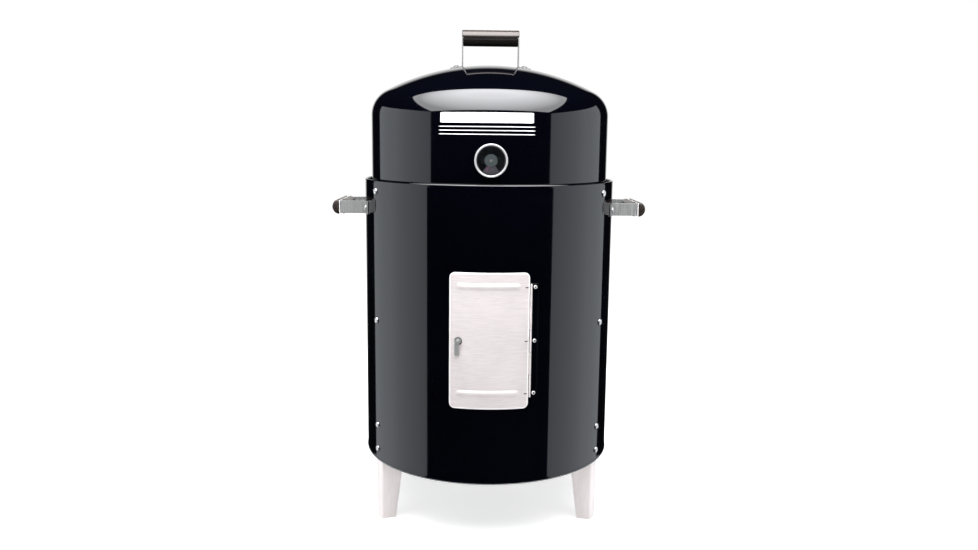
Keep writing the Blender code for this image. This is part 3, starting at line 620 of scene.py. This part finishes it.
def make_side_handle(side, sign):
    """A bent strap with a pale strip painted as the highlight of its bend, a half-round grip outside, and one
    more inside.
    """
    strap_node = f"{side}_handle_strap"
    low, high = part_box(strap_node)
    thick, arm_y = 0.0020, 0.0488
    plate_x = max(abs(low.x), abs(high.x)) - thick / 2
    out = direction(SIDE_BOLT_ANGLES["front"])
    foot = out * (BODY_R + GAP + thick / 2)
    forward = Vector((out.y, -out.x, 0))
    tip = foot + forward * STRAP_FOOT
    bend = foot - forward * ((foot.y + arm_y) / forward.y)
    half = [(tip.x, tip.y), (bend.x, bend.y), (plate_x, -arm_y)]
    path = [Vector((sign * x, y)) for x, y in half + [(x, -y) for x, y in half[::-1]]]
    outline = strip_outline(round_corners(path, 0.0032), thick)
    bm = prism(bmesh.new(), outline, low.z, high.z)
    fit(finished(bm, f"{side}_strap_bent", ZINC, 0.0004), "smoker", "zinc_plated_strap", strap_node)
    # A pale strip between the strap's plate and the outer grip: a painted highlight of the strap's bend.
    face, highlight_strip = thick / 2 + GAP, 0.0014
    low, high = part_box(f"{side}_grip_outer")
    ends = [(sign * (plate_x + face + x), low.y - 0.0008) for x in (0, highlight_strip)]
    edge = ends + [(x, high.y + 0.0008) for x, _ in ends[::-1]]
    bm = prism(bmesh.new(), edge, low.z + 0.0012, high.z - 0.0012)
    fit(finished(bm, f"{side}_grip_painted_highlight", PAINTED_HIGHLIGHT_STEEL, 0.0004), "smoker", "bright_plate")
    middle = (low.z + high.z) / 2
    place = Matrix(((0, sign, 0, sign * plate_x), (0, 0, 1, 0), (1, 0, 0, middle), (0, 0, 0, 1)))
    halves = ((f"{side}_grip_outer", 1, face + highlight_strip), (f"{side}_grip_inner", -1, face))
    for node, way, base in halves:
        low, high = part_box(node)
        depth = high.x - low.x - (base - face)
        section = half_round(high.z - low.z, depth, way * base, way)
        obj = grip(f"{node}_wood", WOOD_ALONG_Y, section, high.y - low.y, place)
        fit(obj, "smoker", "dark_wood", node)


def make_lid_handle():
    """A bent strap between two half-round grips, the lower one a little longer."""
    low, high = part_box("lid_handle_strap")
    thick = 0.0018
    lean = math.asin(LID_BOLT_X / CROWN_R)
    foot_r = CROWN_R + GAP + thick / 2
    foot = Vector((foot_r * math.sin(lean), CROWN_Z + foot_r * math.cos(lean)))
    along = Vector((math.cos(lean), -math.sin(lean)))
    arm_x, plate_z = 0.0467, high.z - thick / 2
    bend = foot - along * ((foot.x - arm_x) / along.x)
    half = [foot + along * STRAP_FOOT, bend, Vector((arm_x, plate_z))]
    path = half + [Vector((-p.x, p.y)) for p in half[::-1]]
    upright = Matrix(((1, 0, 0, 0), (0, 0, -1, 0), (0, 1, 0, 0), (0, 0, 0, 1)))
    outline = strip_outline(round_corners(path, 0.0014), thick)
    bm = prism(bmesh.new(), outline, low.y, high.y, upright)
    fit(finished(bm, "lid_strap_bent", SHADED_ZINC, 0.0004), "lid", "zinc_plated_strap", "lid_handle_strap")
    place = Matrix(((0, 0, 1, 0), (1, 0, 0, 0), (0, 1, 0, 0), (0, 0, 0, 1)))
    halves = (("lid_grip_upper", 1, WOOD_ALONG_X, 0.0), ("lid_grip_lower", -1, WOOD_PAINTED_SHADE, 0.0018))
    for node, sign, material, longer in halves:
        low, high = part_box(node)
        base = low.z if sign > 0 else high.z
        section = half_round(high.y - low.y, high.z - low.z, base, sign)
        obj = grip(f"{node}_wood", material, section, high.x - low.x + longer, place, 0.0016)
        fit(obj, "lid", "dark_wood", node)
    # Dark strips beside the strap, between the two grips: painted shadow in the gap.
    shadow_strips, half_length = bmesh.new(), 0.0445
    z0, z1 = plate_z - 0.0011, plate_z + 0.0011
    for y0, y1 in ((-0.0118, -0.0103), (0.0103, 0.0118)):
        prism(shadow_strips, [(y0, z0), (y1, z0), (y1, z1), (y0, z1)], -half_length, half_length, place)
    fit(finished(shadow_strips, "lid_grip_painted_shadow", WOOD_PAINTED_SHADE), "lid", "dark_wood")


# ---------------------------------------------------------------- fuel door


def spaced(length, edge_steps, pitch):
    """Distances across a length, close together at both ends."""
    inner = length - 2 * edge_steps[-1]
    count = max(2, round(inner / pitch))
    middle = [edge_steps[-1] + inner * k / count for k in range(1, count)]
    return list(edge_steps) + middle + [length - e for e in edge_steps[::-1]]


def door_height(s, z, half_s, mid_z, half_z):
    """The door skin's height over its plain curve: pressed ribs up, edges rolled down."""
    qx, qz = abs(s) - (half_s - DOOR_CORNER), abs(z - mid_z) - (half_z - DOOR_CORNER)
    outside = math.hypot(max(qx, 0), max(qz, 0)) + min(max(qx, qz), 0)
    depth = DOOR_CORNER - outside
    roll, deepest = 0.0014, 0.0009
    drop = roll - math.sqrt(max(0.0, roll**2 - max(0.0, roll - depth) ** 2))
    rib, rib_height, rib_half = 0.0, 0.0022, 0.0048
    left, right = (DOOR_R * math.radians(a) for a in RIB_ENDS)
    middle, reach = (left + right) / 2, (right - left) / 2 - 0.004
    for rib_z in (DOOR_LOW.z + 0.0248, DOOR_HIGH.z - 0.0209):
        d = math.hypot(max(0.0, abs(s - middle) - reach), z - rib_z) / rib_half
        rib += rib_height * math.cos(math.pi / 2 * min(d, 1.0)) ** 0.8
    return rib - min(drop, deepest)


def rim_of(grid):
    """The vertices round the edge of a grid, in order."""
    bottom = [column[0] for column in grid]
    top = [column[-1] for column in grid[-2::-1]]
    return bottom + grid[-1][1:] + top + grid[0][-2:0:-1]


def door_skin(bm, columns, rows, thickness):
    """A grid of vertices over the door, a thickness under its outer face."""
    half_s = DOOR_R * math.radians(DOOR_HALF)
    mid_z, half_z = (DOOR_LOW.z + DOOR_HIGH.z) / 2, (DOOR_HIGH.z - DOOR_LOW.z) / 2
    grid = []
    for s in columns:
        past = max(0.0, abs(s) - half_s + DOOR_CORNER) / DOOR_CORNER
        inset = DOOR_CORNER * (1 - math.sqrt(max(0.0, 1 - past**2)))
        out = direction(math.degrees(s / DOOR_R))
        column = []
        for v in rows:
            z = mid_z + (half_z - inset) * (2 * v - 1)
            r = DOOR_R + door_height(s, z, half_s, mid_z, half_z) - thickness
            column.append(bm.verts.new(out * r + Vector((0, 0, z))))
        grid.append(column)
    return grid


def make_door():
    """The curved panel, pressed with two ribs, in one thin skin."""
    width, height = 2 * DOOR_R * math.radians(DOOR_HALF), DOOR_HIGH.z - DOOR_LOW.z
    edge = (0.0, 0.0002, 0.0005, 0.0009, 0.0014, 0.0022, 0.0034, 0.0050, 0.0068, 0.0085)
    columns = [d - width / 2 for d in spaced(width, edge, 0.0025)]
    rows = [d / height for d in spaced(height, edge, 0.0011)]
    bm = bmesh.new()
    skins = [door_skin(bm, columns, rows, thickness) for thickness in (0.0, 0.0010)]
    # Faces along the door's rolled edge take the paler material, a painted highlight.
    painted_highlight_width = 0.0016
    hem = {k for k, e in enumerate(edge) if e < painted_highlight_width}
    for grid in skins:
        for i, (here, there) in enumerate(zip(grid, grid[1:])):
            for k in range(len(here) - 1):
                face = bm.faces.new([here[k], there[k], there[k + 1], here[k + 1]])
                in_painted_highlight = {i, k, len(columns) - 2 - i, len(rows) - 2 - k} & hem
                face.material_index = 1 if in_painted_highlight else 0
    outer, inner = (rim_of(grid) for grid in skins)
    for k in range(len(outer)):
        n = (k + 1) % len(outer)
        bm.faces.new([outer[k], outer[n], inner[n], inner[k]])
    door = finished(bm, "door_panel", DOOR_STEEL, angle=60)
    door.data.materials.append(PAINTED_HIGHLIGHT_STEEL)
    fit(door, "door", "galvanised_sheet", "fire_door")


def knuckle_ends(k):
    """The lower and upper end of one of the hinge's knuckles."""
    low, high = (corner.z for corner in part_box("body_hinge_leaf"))
    pitch = (high - low) / KNUCKLES
    return low + k * pitch + GAP, low + (k + 1) * pitch - GAP


def hinge_knuckles(bm, first):
    """Every second rolled knuckle of the hinge."""
    axis = Matrix.Translation(direction(HINGE_ANGLE) * HINGE_R)
    bore, r, c = KNUCKLE_BORE_R, KNUCKLE_R, 0.00025
    for k in range(first, KNUCKLES, 2):
        z0, z1 = knuckle_ends(k)
        ring = [(bore, z0), (r - c, z0), (r, z0 + c), (r, z1 - c), (r - c, z1), (bore, z1)]
        revolve(bm, ring, 24, axis)


def leaf_plate(bm, start, end, r_in, r_out, low, high):
    """A thin plate on the barrel's curve."""
    steps = 6
    loops = []
    corners = ((r_in, low), (r_out, low), (r_out, high), (r_in, high))
    for k in range(steps + 1):
        out = direction(start + (end - start) * k / steps)
        loops.append([out * r + Vector((0, 0, z)) for r, z in corners])
    return loft(bm, loops)


def make_hinge_fixings(r_out):
    """Three screws through the fixed leaf and three rivets through the moving one."""
    screw = pan_screw("hinge_screw")
    rivet = slotted_rivet("rivet")
    for height in ("upper", "middle", "lower"):
        node = f"hinge_screw_{height}"
        low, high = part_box(node)
        z = (low.z + high.z) / 2
        place = station_frame(SCREW_ANGLE, r_out + GAP, z)
        fit(copy_at(screw, f"{node}_pan", place), "smoker", "bright_plate", node)
        node = f"door_rivet_{height}"
        place = station_frame(RIVET_ANGLE, DOOR_R + 0.0001, z)
        fit(copy_at(rivet, f"{node}_slotted", place), "door", "galvanised_sheet", node)
    bpy.data.objects.remove(screw)
    bpy.data.objects.remove(rivet)


def make_hinge():
    """Two leaves with rolled knuckles on a pin."""
    low, high = (corner.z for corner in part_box("body_hinge_leaf"))
    r_in, r_out = BODY_R + 0.0004, BODY_R + 0.0014
    knuckle_deg = math.degrees(0.0021 / BODY_R)
    fixed, moving = bmesh.new(), bmesh.new()
    leaf_plate(fixed, HINGE_ANGLE + knuckle_deg, BODY_LEAF_END, r_in, r_out, low, high)
    leaf_plate(moving, HINGE_ANGLE - knuckle_deg, DOOR_LEAF_END, r_in, r_out, low, high)
    for k in range(KNUCKLES):
        bm, to = (fixed, 1) if k % 2 == 0 else (moving, -1)
        start, end = HINGE_ANGLE + to * 0.1, HINGE_ANGLE + to * knuckle_deg * 1.02
        leaf_plate(bm, start, end, r_in + 0.0001, r_out - 0.0001, *knuckle_ends(k))
    leaf = finished(fixed, "fixed_leaf", ENAMEL, 0.0002)
    fit(leaf, "smoker", "gloss_black_enamel", "body_hinge_leaf")
    leaf = finished(moving, "moving_leaf", DOOR_STEEL, 0.0002)
    fit(leaf, "door", "galvanised_sheet", "door_hinge_leaf")
    for name, body, first in (("fixed_knuckles", "smoker", 0), ("moving_knuckles", "door", 1)):
        bm = bmesh.new()
        hinge_knuckles(bm, first)
        fit(finished(bm, name, DOOR_STEEL), body, "galvanised_sheet")
    tip = 0.0008
    pin = [(0.0, low - tip), (0.0005, low - tip + 0.0001), (0.0008, low - tip + 0.0004)]
    pin += [(0.0008, high + tip - 0.0004), (0.0005, high + tip - 0.0001), (0.0, high + tip)]
    axis = Matrix.Translation(direction(HINGE_ANGLE) * HINGE_R)
    pin_round = finished(revolve(bmesh.new(), pin, 16, axis), "pin_round", BRIGHT)
    fit(pin_round, "smoker", "bright_plate", "hinge_pin")
    make_hinge_fixings(r_out)


def make_latch():
    """A cast lever on a collar, turning a tongue behind the door."""
    place = station_frame(LATCH_ANGLE, 0, JOINTS["latch_turn"]["pos_m"][2])
    seat = DOOR_R + GAP
    # The collar is dark as painted shade round the lever's hub.
    collar = [(0.0, 0.0010), (0.0050, 0.0010), (0.0058, 0.0007), (0.0060, 0.0), (0.0, 0.0)]
    base = place @ Matrix.Translation((0, 0, seat))
    ring = finished(revolve(bmesh.new(), collar, 32, base), "lever_collar_painted_shade", RECESS_SHADE)
    fit(ring, "latch", "zinc_plated_strap")
    cap = [(0.0050 * x, 0.0002 + 0.0048 * y) for x, y in arc(0, 0, 1, -20, 200, 18)]
    tip = arc(-0.0018, -0.0212, 0.0012, 270, 360, 4)
    foot = [(-0.0051, -0.0040), (-0.0050, -0.0212)] + arc(-0.0038, -0.0212, 0.0012, 180, 270, 4)
    outline = cap + foot + [(x + 0.0022, y) for x, y in tip] + [(0.0016, -0.0042)]
    bm = prism(bmesh.new(), outline, seat + 0.0010, seat + 0.0030, place)
    button = [(0.0, 0.0042), (0.0018, 0.0040), (0.0028, 0.0032), (0.0030, 0.0026), (0.0022, 0.0020)]
    shaft_r, shaft_end = 0.0022, 0.2012
    shaft = [(r, seat + z) for r, z in button] + [(shaft_r, shaft_end), (0.0, shaft_end)]
    revolve(bm, shaft, 24, place)
    fit(finished(bm, "lever_cast", ZINC, 0.0005), "latch", "zinc_plated_strap", "latch_lever")
    bar = [(0.0035 * x, 0.0165 + 0.0035 * y) for x, y in arc(0, 0, 1, 0, 180, 10)]
    bar += [(0.0035 * x, -0.0010 + 0.0035 * y) for x, y in arc(0, 0, 1, 180, 360, 10)]
    tongue = prism(bmesh.new(), bar, 0.2035, 0.2055, place)
    fit(finished(tongue, "tongue_plate", ZINC, 0.0003), "latch", "galvanised_sheet", "latch_tongue")
    nut = prism(bmesh.new(), hexagon(0.0042), 0.2015, 0.2032, place)
    fit(finished(nut, "tongue_nut", BRIGHT, 0.0003), "latch", "bright_plate", "latch_nut")


# ---------------------------------------------------------------- lid


def dome_arcs(inset, shoulder_steps=24, crown_steps=30):
    """The shoulder and crown from the wall to the apex, a depth inside the surface."""
    meet = math.degrees(math.atan2(SHOULDER_Z - CROWN_Z, SHOULDER_CENTRE))
    shoulder = arc(SHOULDER_CENTRE, SHOULDER_Z, SHOULDER_R - inset, 0, meet, shoulder_steps)
    crown = arc(0, CROWN_Z, CROWN_R - inset, meet, 90, crown_steps)[1:-1]
    return shoulder + crown + [(0.0, LID_HIGH.z - inset)]


def make_lid():
    """A spun dome with a rolled hem."""
    z0 = LID_LOW.z
    inner, roll = LID_R - SKIN, 0.0012
    hem = [(inner, z0 + 0.004), (inner + 0.0004, z0 + 0.0006), (LID_R, z0)]
    hem += arc(LID_HEM_R - roll, z0 + roll, roll, -90, 90, 8)
    hem += [(LID_R + 0.0006, z0 + 0.0030), (LID_R, z0 + 0.0042)]
    wall = [(LID_R, z0 + 0.0047), (LID_R, z0 + 0.0060)]
    wall += [(LID_R, SHOULDER_Z - 0.0020), (LID_R, SHOULDER_Z - 0.0008)]
    profile = dome_arcs(SKIN)[::-1] + hem + wall + dome_arcs(0)
    dome = finished(revolve(bmesh.new(), profile, 256), "lid_dome", ENAMEL)
    fit(dome, "lid", "gloss_black_enamel", "dome_lid")


def sticker(name, half_width, low, high, corner):
    """A thin white strip with rounded corners, wrapped on the lid's wall a little left of the gauge."""
    columns = 48
    inner, outer = LID_R + 0.00005, LID_R + 0.00025
    middle = -0.0068
    bm = bmesh.new()
    rows = []
    for k in range(columns + 1):
        s = half_width * (2 * k / columns - 1)
        past = max(0.0, abs(s) - half_width + corner) / corner
        inset = corner * (1 - math.sqrt(max(0.0, 1 - past**2)))
        out = direction(math.degrees((middle + s) / inner))
        a, b = Vector((0, 0, low + inset)), Vector((0, 0, high - inset))
        rows.append([out * inner + a, out * outer + a, out * outer + b, out * inner + b])
    fit(finished(loft(bm, rows), name, LABEL_WHITE), "lid", "gloss_black_enamel")


def make_labels():
    """A blank strip, and plain pinstripes under it."""
    top = SHOULDER_Z + 0.0015
    sticker("blank_label", 0.0707, top - 0.0150, top, 0.0006)
    for k in range(3):
        high = top - 0.0200 - 0.0056 * k
        sticker(f"pinstripe_{k}", 0.0735, high - 0.0011, high, 0.0004)


# ---------------------------------------------------------------- heat gauge

GAUGE_LOW, GAUGE_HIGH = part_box("gauge_case")
GAUGE_FRAME = station_frame(0, LID_R, (GAUGE_LOW.z + GAUGE_HIGH.z) / 2)


INK_LOW, INK_HIGH = 0.00275, 0.00290
LENS_R = 0.0232


def sector(bm, r_in, r_out, start, end, low, high, steps=24):
    """A ring sector on the dial, angles anticlockwise from the top."""
    loops = []
    corners = ((r_in, low), (r_out, low), (r_out, high), (r_in, high))
    for k in range(steps + 1):
        a = math.radians(start + (end - start) * k / steps)
        ray = Vector((-math.sin(a), math.cos(a), 0))
        loops.append([GAUGE_FRAME @ (ray * r + Vector((0, 0, z))) for r, z in corners])
    return loft(bm, loops)


def on_gauge_axis(profile, sides, name, material):
    """A profile turned about the gauge's axis."""
    return finished(revolve(bmesh.new(), profile, sides, GAUGE_FRAME), name, material)


def make_dial():
    """The dark plate with its rest zone, ring of ticks and border, all plain shapes."""
    face = [(0.0, 0.0020), (LENS_R, 0.0020), (LENS_R, 0.0028), (0.0, 0.0028)]
    fit(on_gauge_axis(face, 72, "dial_plate", DIAL_BLACK), "lid", "dial_face", "gauge_dial")
    zone = sector(bmesh.new(), 0.0102, 0.0200, 142, 218, INK_LOW, INK_HIGH)
    fit(finished(zone, "dial_rest_zone", DIAL_WEDGE), "lid", "dial_face")
    ticks, count, scale_half = bmesh.new(), 24, 130
    for k in range(count + 1):
        at = -scale_half + 2 * scale_half * k / count
        reach = 0.0150 if k % 4 == 0 else 0.0168
        sector(ticks, reach, 0.0184, at - 1.5, at + 1.5, INK_LOW, INK_HIGH, 2)
    fit(finished(ticks, "dial_ticks", DIAL_MARKS), "lid", "dial_face")
    border = sector(bmesh.new(), 0.0202, 0.0215, 0, 360, INK_LOW, INK_HIGH, 72)
    fit(finished(border, "dial_border", DIAL_WEDGE), "lid", "dial_face")


def make_needle():
    """The pointer, with the grey disc over its middle."""
    tilt = GAUGE_FRAME @ Matrix.Rotation(math.radians(158), 4, "Z")
    right = [(0.0008, -0.0055), (0.0013, 0.0), (0.0006, 0.0150)]
    left = [(-x, y) for x, y in right[::-1]]
    bm = prism(bmesh.new(), left[-1:] + right + [(0.0, 0.0180)] + left[:-1], 0.0040, 0.0045, tilt)
    blade = finished(bm, "needle_blade", NEEDLE_PAINT, 0.0001)
    fit(blade, "needle", "needle_paint", "gauge_needle")
    hub = [(0.0, 0.0046), (0.0097, 0.0046), (0.0097, 0.0047), (0.0094, 0.0049), (0.0, 0.0049)]
    fit(on_gauge_axis(hub, 60, "needle_hub", DIAL_GREY), "needle", "needle_paint")
    rings = bmesh.new()
    for r in (0.0030, 0.0060, 0.0085):
        sector(rings, r, r + 0.0007, 0, 360, 0.0047, 0.00505, 48)
    fit(finished(rings, "hub_rings", DIAL_MARKS), "needle", "needle_paint")
    eye = [(0.0008, 0.0050), (0.0020, 0.0050), (0.0018, 0.0055), (0.0010, 0.0055)]
    fit(on_gauge_axis(eye, 24, "hub_eye", ZINC), "needle", "needle_paint")


def make_gauge():
    """The case with its bezel, dial, lens, stem nut and needle."""
    bezel = arc(0.0234, 0.0090, 0.0014, 0, 90, 6) + arc(0.0234, 0.0088, 0.0016, 90, 180, 6)
    case = [(0.0, -0.0125), (0.0038, -0.0125), (0.0040, -0.0122), (0.0040, 0.0003)]
    case += [(0.0244, 0.0003), (0.0248, 0.0008)] + bezel
    case += [(0.0218, 0.0076), (0.0236, 0.0076), (0.0236, 0.0015), (0.0, 0.0015)]
    fit(on_gauge_axis(case, 96, "gauge_housing", BEZEL), "lid", "bright_plate", "gauge_case")
    make_dial()
    lens = [(0.0, 0.0064), (LENS_R, 0.0064), (LENS_R, 0.0073), (0.0, 0.0073)]
    fit(on_gauge_axis(lens, 72, "lens_glass", GLASS), "lid", "clear_glass", "gauge_lens")
    nut = prism(bmesh.new(), hexagon(0.0078), -0.0060, -0.0020, GAUGE_FRAME)
    fit(finished(nut, "stem_nut", BRIGHT, 0.0004), "lid", "bright_plate", "gauge_nut")
    make_needle()


# ---------------------------------------------------------------- pans and grills


def make_pan(node):
    """A spun bowl that hangs by its flat rim, the rim's edge rolled."""
    low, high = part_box(node)
    rim_r, seat, t = high.x, high.z - 0.0017, SKIN
    wall_r = rim_r - 0.0095
    taper, round_r = (0.016, 0.012) if node == "charcoal_pan" else (0.022, 0.007)
    base_r = wall_r - taper
    flat_r, curl = 0.03, 0.00085
    outside = [(0.0, low.z), (flat_r, low.z)]
    outside += arc(base_r - round_r, low.z + round_r, round_r, -90, -20, 12)
    rim = [(wall_r - 0.0006, seat - 0.001), (wall_r + 0.0010, seat)]
    rim += arc(rim_r - curl, seat + curl, curl, -90, 90, 8)
    rim += [(wall_r + 0.0008, high.z), (wall_r - t, high.z - 0.0012)]
    inside = arc(base_r - round_r, low.z + round_r, round_r - t, -20, -90, 12)
    inside += [(flat_r, low.z + t), (0.0, low.z + t)]
    bm = revolve(bmesh.new(), outside + rim + inside, 160)
    fit(finished(bm, f"{node}_spun", ENAMEL), node, "gloss_black_enamel", node)


def make_grill(node):
    """Round wires: a ring, bars from front to back, and two ties under them."""
    low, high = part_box(node)
    outer = high.x
    wire = (high.z - low.z) / 2
    bm = bmesh.new()
    centre = Vector((0, 0, low.z + wire))
    circle = [centre + direction(3 * k) * (outer - wire) for k in range(120)]
    tube(bm, circle, wire, 14, closed=True)
    bar_r, tie_r, pitch = 0.0017, 0.0014, 0.024
    inner = outer - 0.0020
    count = int((outer - 0.008) / pitch)
    for k in range(-count, count + 1):
        x = pitch * k
        half = math.sqrt(inner**2 - x**2) - wire * 0.5
        z = low.z + 0.0029
        tube(bm, [Vector((x, -half, z)), Vector((x, 0, z)), Vector((x, half, z))], bar_r, 10)
    for y in (-outer * 0.55, outer * 0.55):
        half = math.sqrt(inner**2 - y**2) - wire * 0.5
        z = low.z + 0.0015
        tube(bm, [Vector((-half, y, z)), Vector((0, y, z)), Vector((half, y, z))], tie_r, 10)
    fit(finished(bm, f"{node}_wire", CHROME), node, "bright_plate", node)


def dress_brackets():
    """Give the brackets, which keep their CAD meshes, the legs' finish."""
    for height in ("upper", "lower"):
        for side in STATIONS:
            node = frame["nodes"][f"{height}_bracket_{side}"]
            node.data.materials.clear()
            node.data.materials.append(LEG_STEEL)


# ---------------------------------------------------------------- studio


def set_look():
    """Show light levels as they are, so that a white background stays white."""
    bpy.context.scene.view_settings.view_transform = "Standard"


def add_camera():
    """The camera at the photograph's angle: a little to the left, above the lid's rim, tipped down."""
    data = bpy.data.cameras.new("camera")
    data.lens = 31.64
    data.sensor_width = 36.0
    data.clip_start = 0.05
    data.clip_end = 60.0
    camera = bpy.data.objects.new("camera", data)
    bpy.context.scene.collection.objects.link(camera)
    azimuth, distance, height = math.radians(-0.8), 1.4797, 0.6391
    aside, tip_down, lean = 0.0016, 9.184, 0.636
    x, y = distance * math.sin(azimuth) + aside, -distance * math.cos(azimuth)
    tip = Matrix.Rotation(math.radians(90 - tip_down), 4, "X")
    roll = Matrix.Rotation(math.radians(lean), 4, "Z")
    turn = Matrix.Rotation(azimuth, 4, "Z")
    camera.matrix_world = Matrix.Translation((x, y, height)) @ turn @ tip @ roll
    bpy.context.scene.camera = camera


def glowing_card(name, corners, centre, weights, glow, tint):
    """A four-cornered card that lights surfaces and shows in reflections, but not to the camera.

    The glow is the radiance near a point and far from it, and the distances at which each starts.
    """
    near, far, start, end = glow
    bm = bmesh.new()
    bm.faces.new([bm.verts.new(corner) for corner in corners])
    f = Finish(name, 1.0, Specular_IOR_Level=0.0)
    scaled = f.node("ShaderNodeVectorMath", [(0, f.coords), (1, weights)], operation="MULTIPLY")
    offset = f.node("ShaderNodeVectorMath", [(0, scaled.outputs[0]), (1, centre)], operation="DISTANCE")
    fade = f.spread(offset.outputs["Value"], near, far, start, end)
    f.tree.links.new(fade, f.shader.inputs["Emission Strength"])
    f.shader.inputs["Emission Color"].default_value = (*tint, 1.0)
    f.shader.inputs["Base Color"].default_value = (0, 0, 0, 1)
    card = finished(bm, name, f.material)
    card.visible_camera = False
    card.visible_shadow = False


def add_lights():
    """A soft box over the front of the lid, and a tall dim card on either side."""
    box = [(-1.08, -0.82, 0.84), (1.03, -0.82, 0.84), (1.03, 0.16, 1.66), (-1.08, 0.16, 1.66)]
    glowing_card("soft_box", box, (0, -0.25, 1.30), (1, 1, 1), (8.8, 3.1, 0.24, 0.88), (0.97, 0.97, 1.0))
    left = [(-1.45, -1.05, 0.85), (-1.45, 1.0, 1.08), (-1.45, 1.0, -1.0), (-1.45, -1.05, -1.0)]
    right = [(1.45, -1.02, 0.80), (1.45, 1.0, 1.24), (1.45, 1.0, -1.0), (1.45, -1.02, -1.0)]
    for name, corners in (("left_card", left), ("right_card", right)):
        glowing_card(name, corners, (0, 0.10, 0), (0, 1, 0), (0.92, 0.62, 0.0, 1.15), (0.95, 1.0, 1.06))


def add_world():
    """White to the camera. In reflections, dark in front and bright behind, where the backdrop stands."""
    world = bpy.data.worlds.new("studio")
    bpy.context.scene.world = world
    world.use_nodes = True
    tree = world.node_tree
    back = tree.nodes["Background"]
    back.inputs["Color"].default_value = (1, 1, 1, 1)
    path = tree.nodes.new("ShaderNodeLightPath")
    coords = tree.nodes.new("ShaderNodeTexCoord")
    split = tree.nodes.new("ShaderNodeSeparateXYZ")
    tree.links.new(coords.outputs["Generated"], split.inputs[0])
    behind = tree.nodes.new("ShaderNodeMapRange")
    tree.links.new(split.outputs["Y"], behind.inputs["Value"])
    for socket, value in (("From Min", 0.915), ("From Max", 0.955), ("To Min", 0.004), ("To Max", 0.9)):
        behind.inputs[socket].default_value = value
    choose = tree.nodes.new("ShaderNodeMix")
    tree.links.new(path.outputs["Is Camera Ray"], choose.inputs[0])
    tree.links.new(behind.outputs["Result"], choose.inputs[2])
    choose.inputs[3].default_value = 1.0
    tree.links.new(choose.outputs[0], back.inputs["Strength"])


def add_floor():
    """A plain pale floor that fades to the white background away from the object."""
    disc = [(0.0, 0.0), (0.6, 0.0), (1.5, 0.0), (6.0, 0.0), (6.0, -0.02), (0.0, -0.02)]
    bm = revolve(bmesh.new(), disc, 96)
    f = Finish("pale_floor", 0.9, Specular_IOR_Level=0.0)
    f.color(f.blend(f.spread(f.noise(2.0), 0, 1), (0.90, 0.90, 0.90), (0.93, 0.93, 0.93)))
    distance = f.node("ShaderNodeVectorMath", [(0, f.coords)], operation="LENGTH").outputs["Value"]
    glow = f.spread(distance, 0.72, 1.2, 0.30, 1.4)
    f.tree.links.new(glow, f.shader.inputs["Emission Strength"])
    f.shader.inputs["Emission Color"].default_value = (1, 1, 1, 1)
    floor = finished(bm, "floor", f.material)
    floor.location.z = -0.0005
    floor.visible_glossy = False


# ---------------------------------------------------------------- everything


def main():
    set_look()
    add_camera()
    make_barrel()
    for side, angle in STATIONS.items():
        make_leg(side, angle)
    dress_brackets()
    make_body_bolts()
    make_handle_bolts()
    make_side_handle("left", -1)
    make_side_handle("right", 1)
    make_lid_handle()
    make_door()
    make_hinge()
    make_latch()
    make_lid()
    make_labels()
    make_gauge()
    for node in ("charcoal_pan", "water_pan"):
        make_pan(node)
    for node in ("lower_grill", "upper_grill"):
        make_grill(node)
    add_lights()
    add_world()
    add_floor()


main()
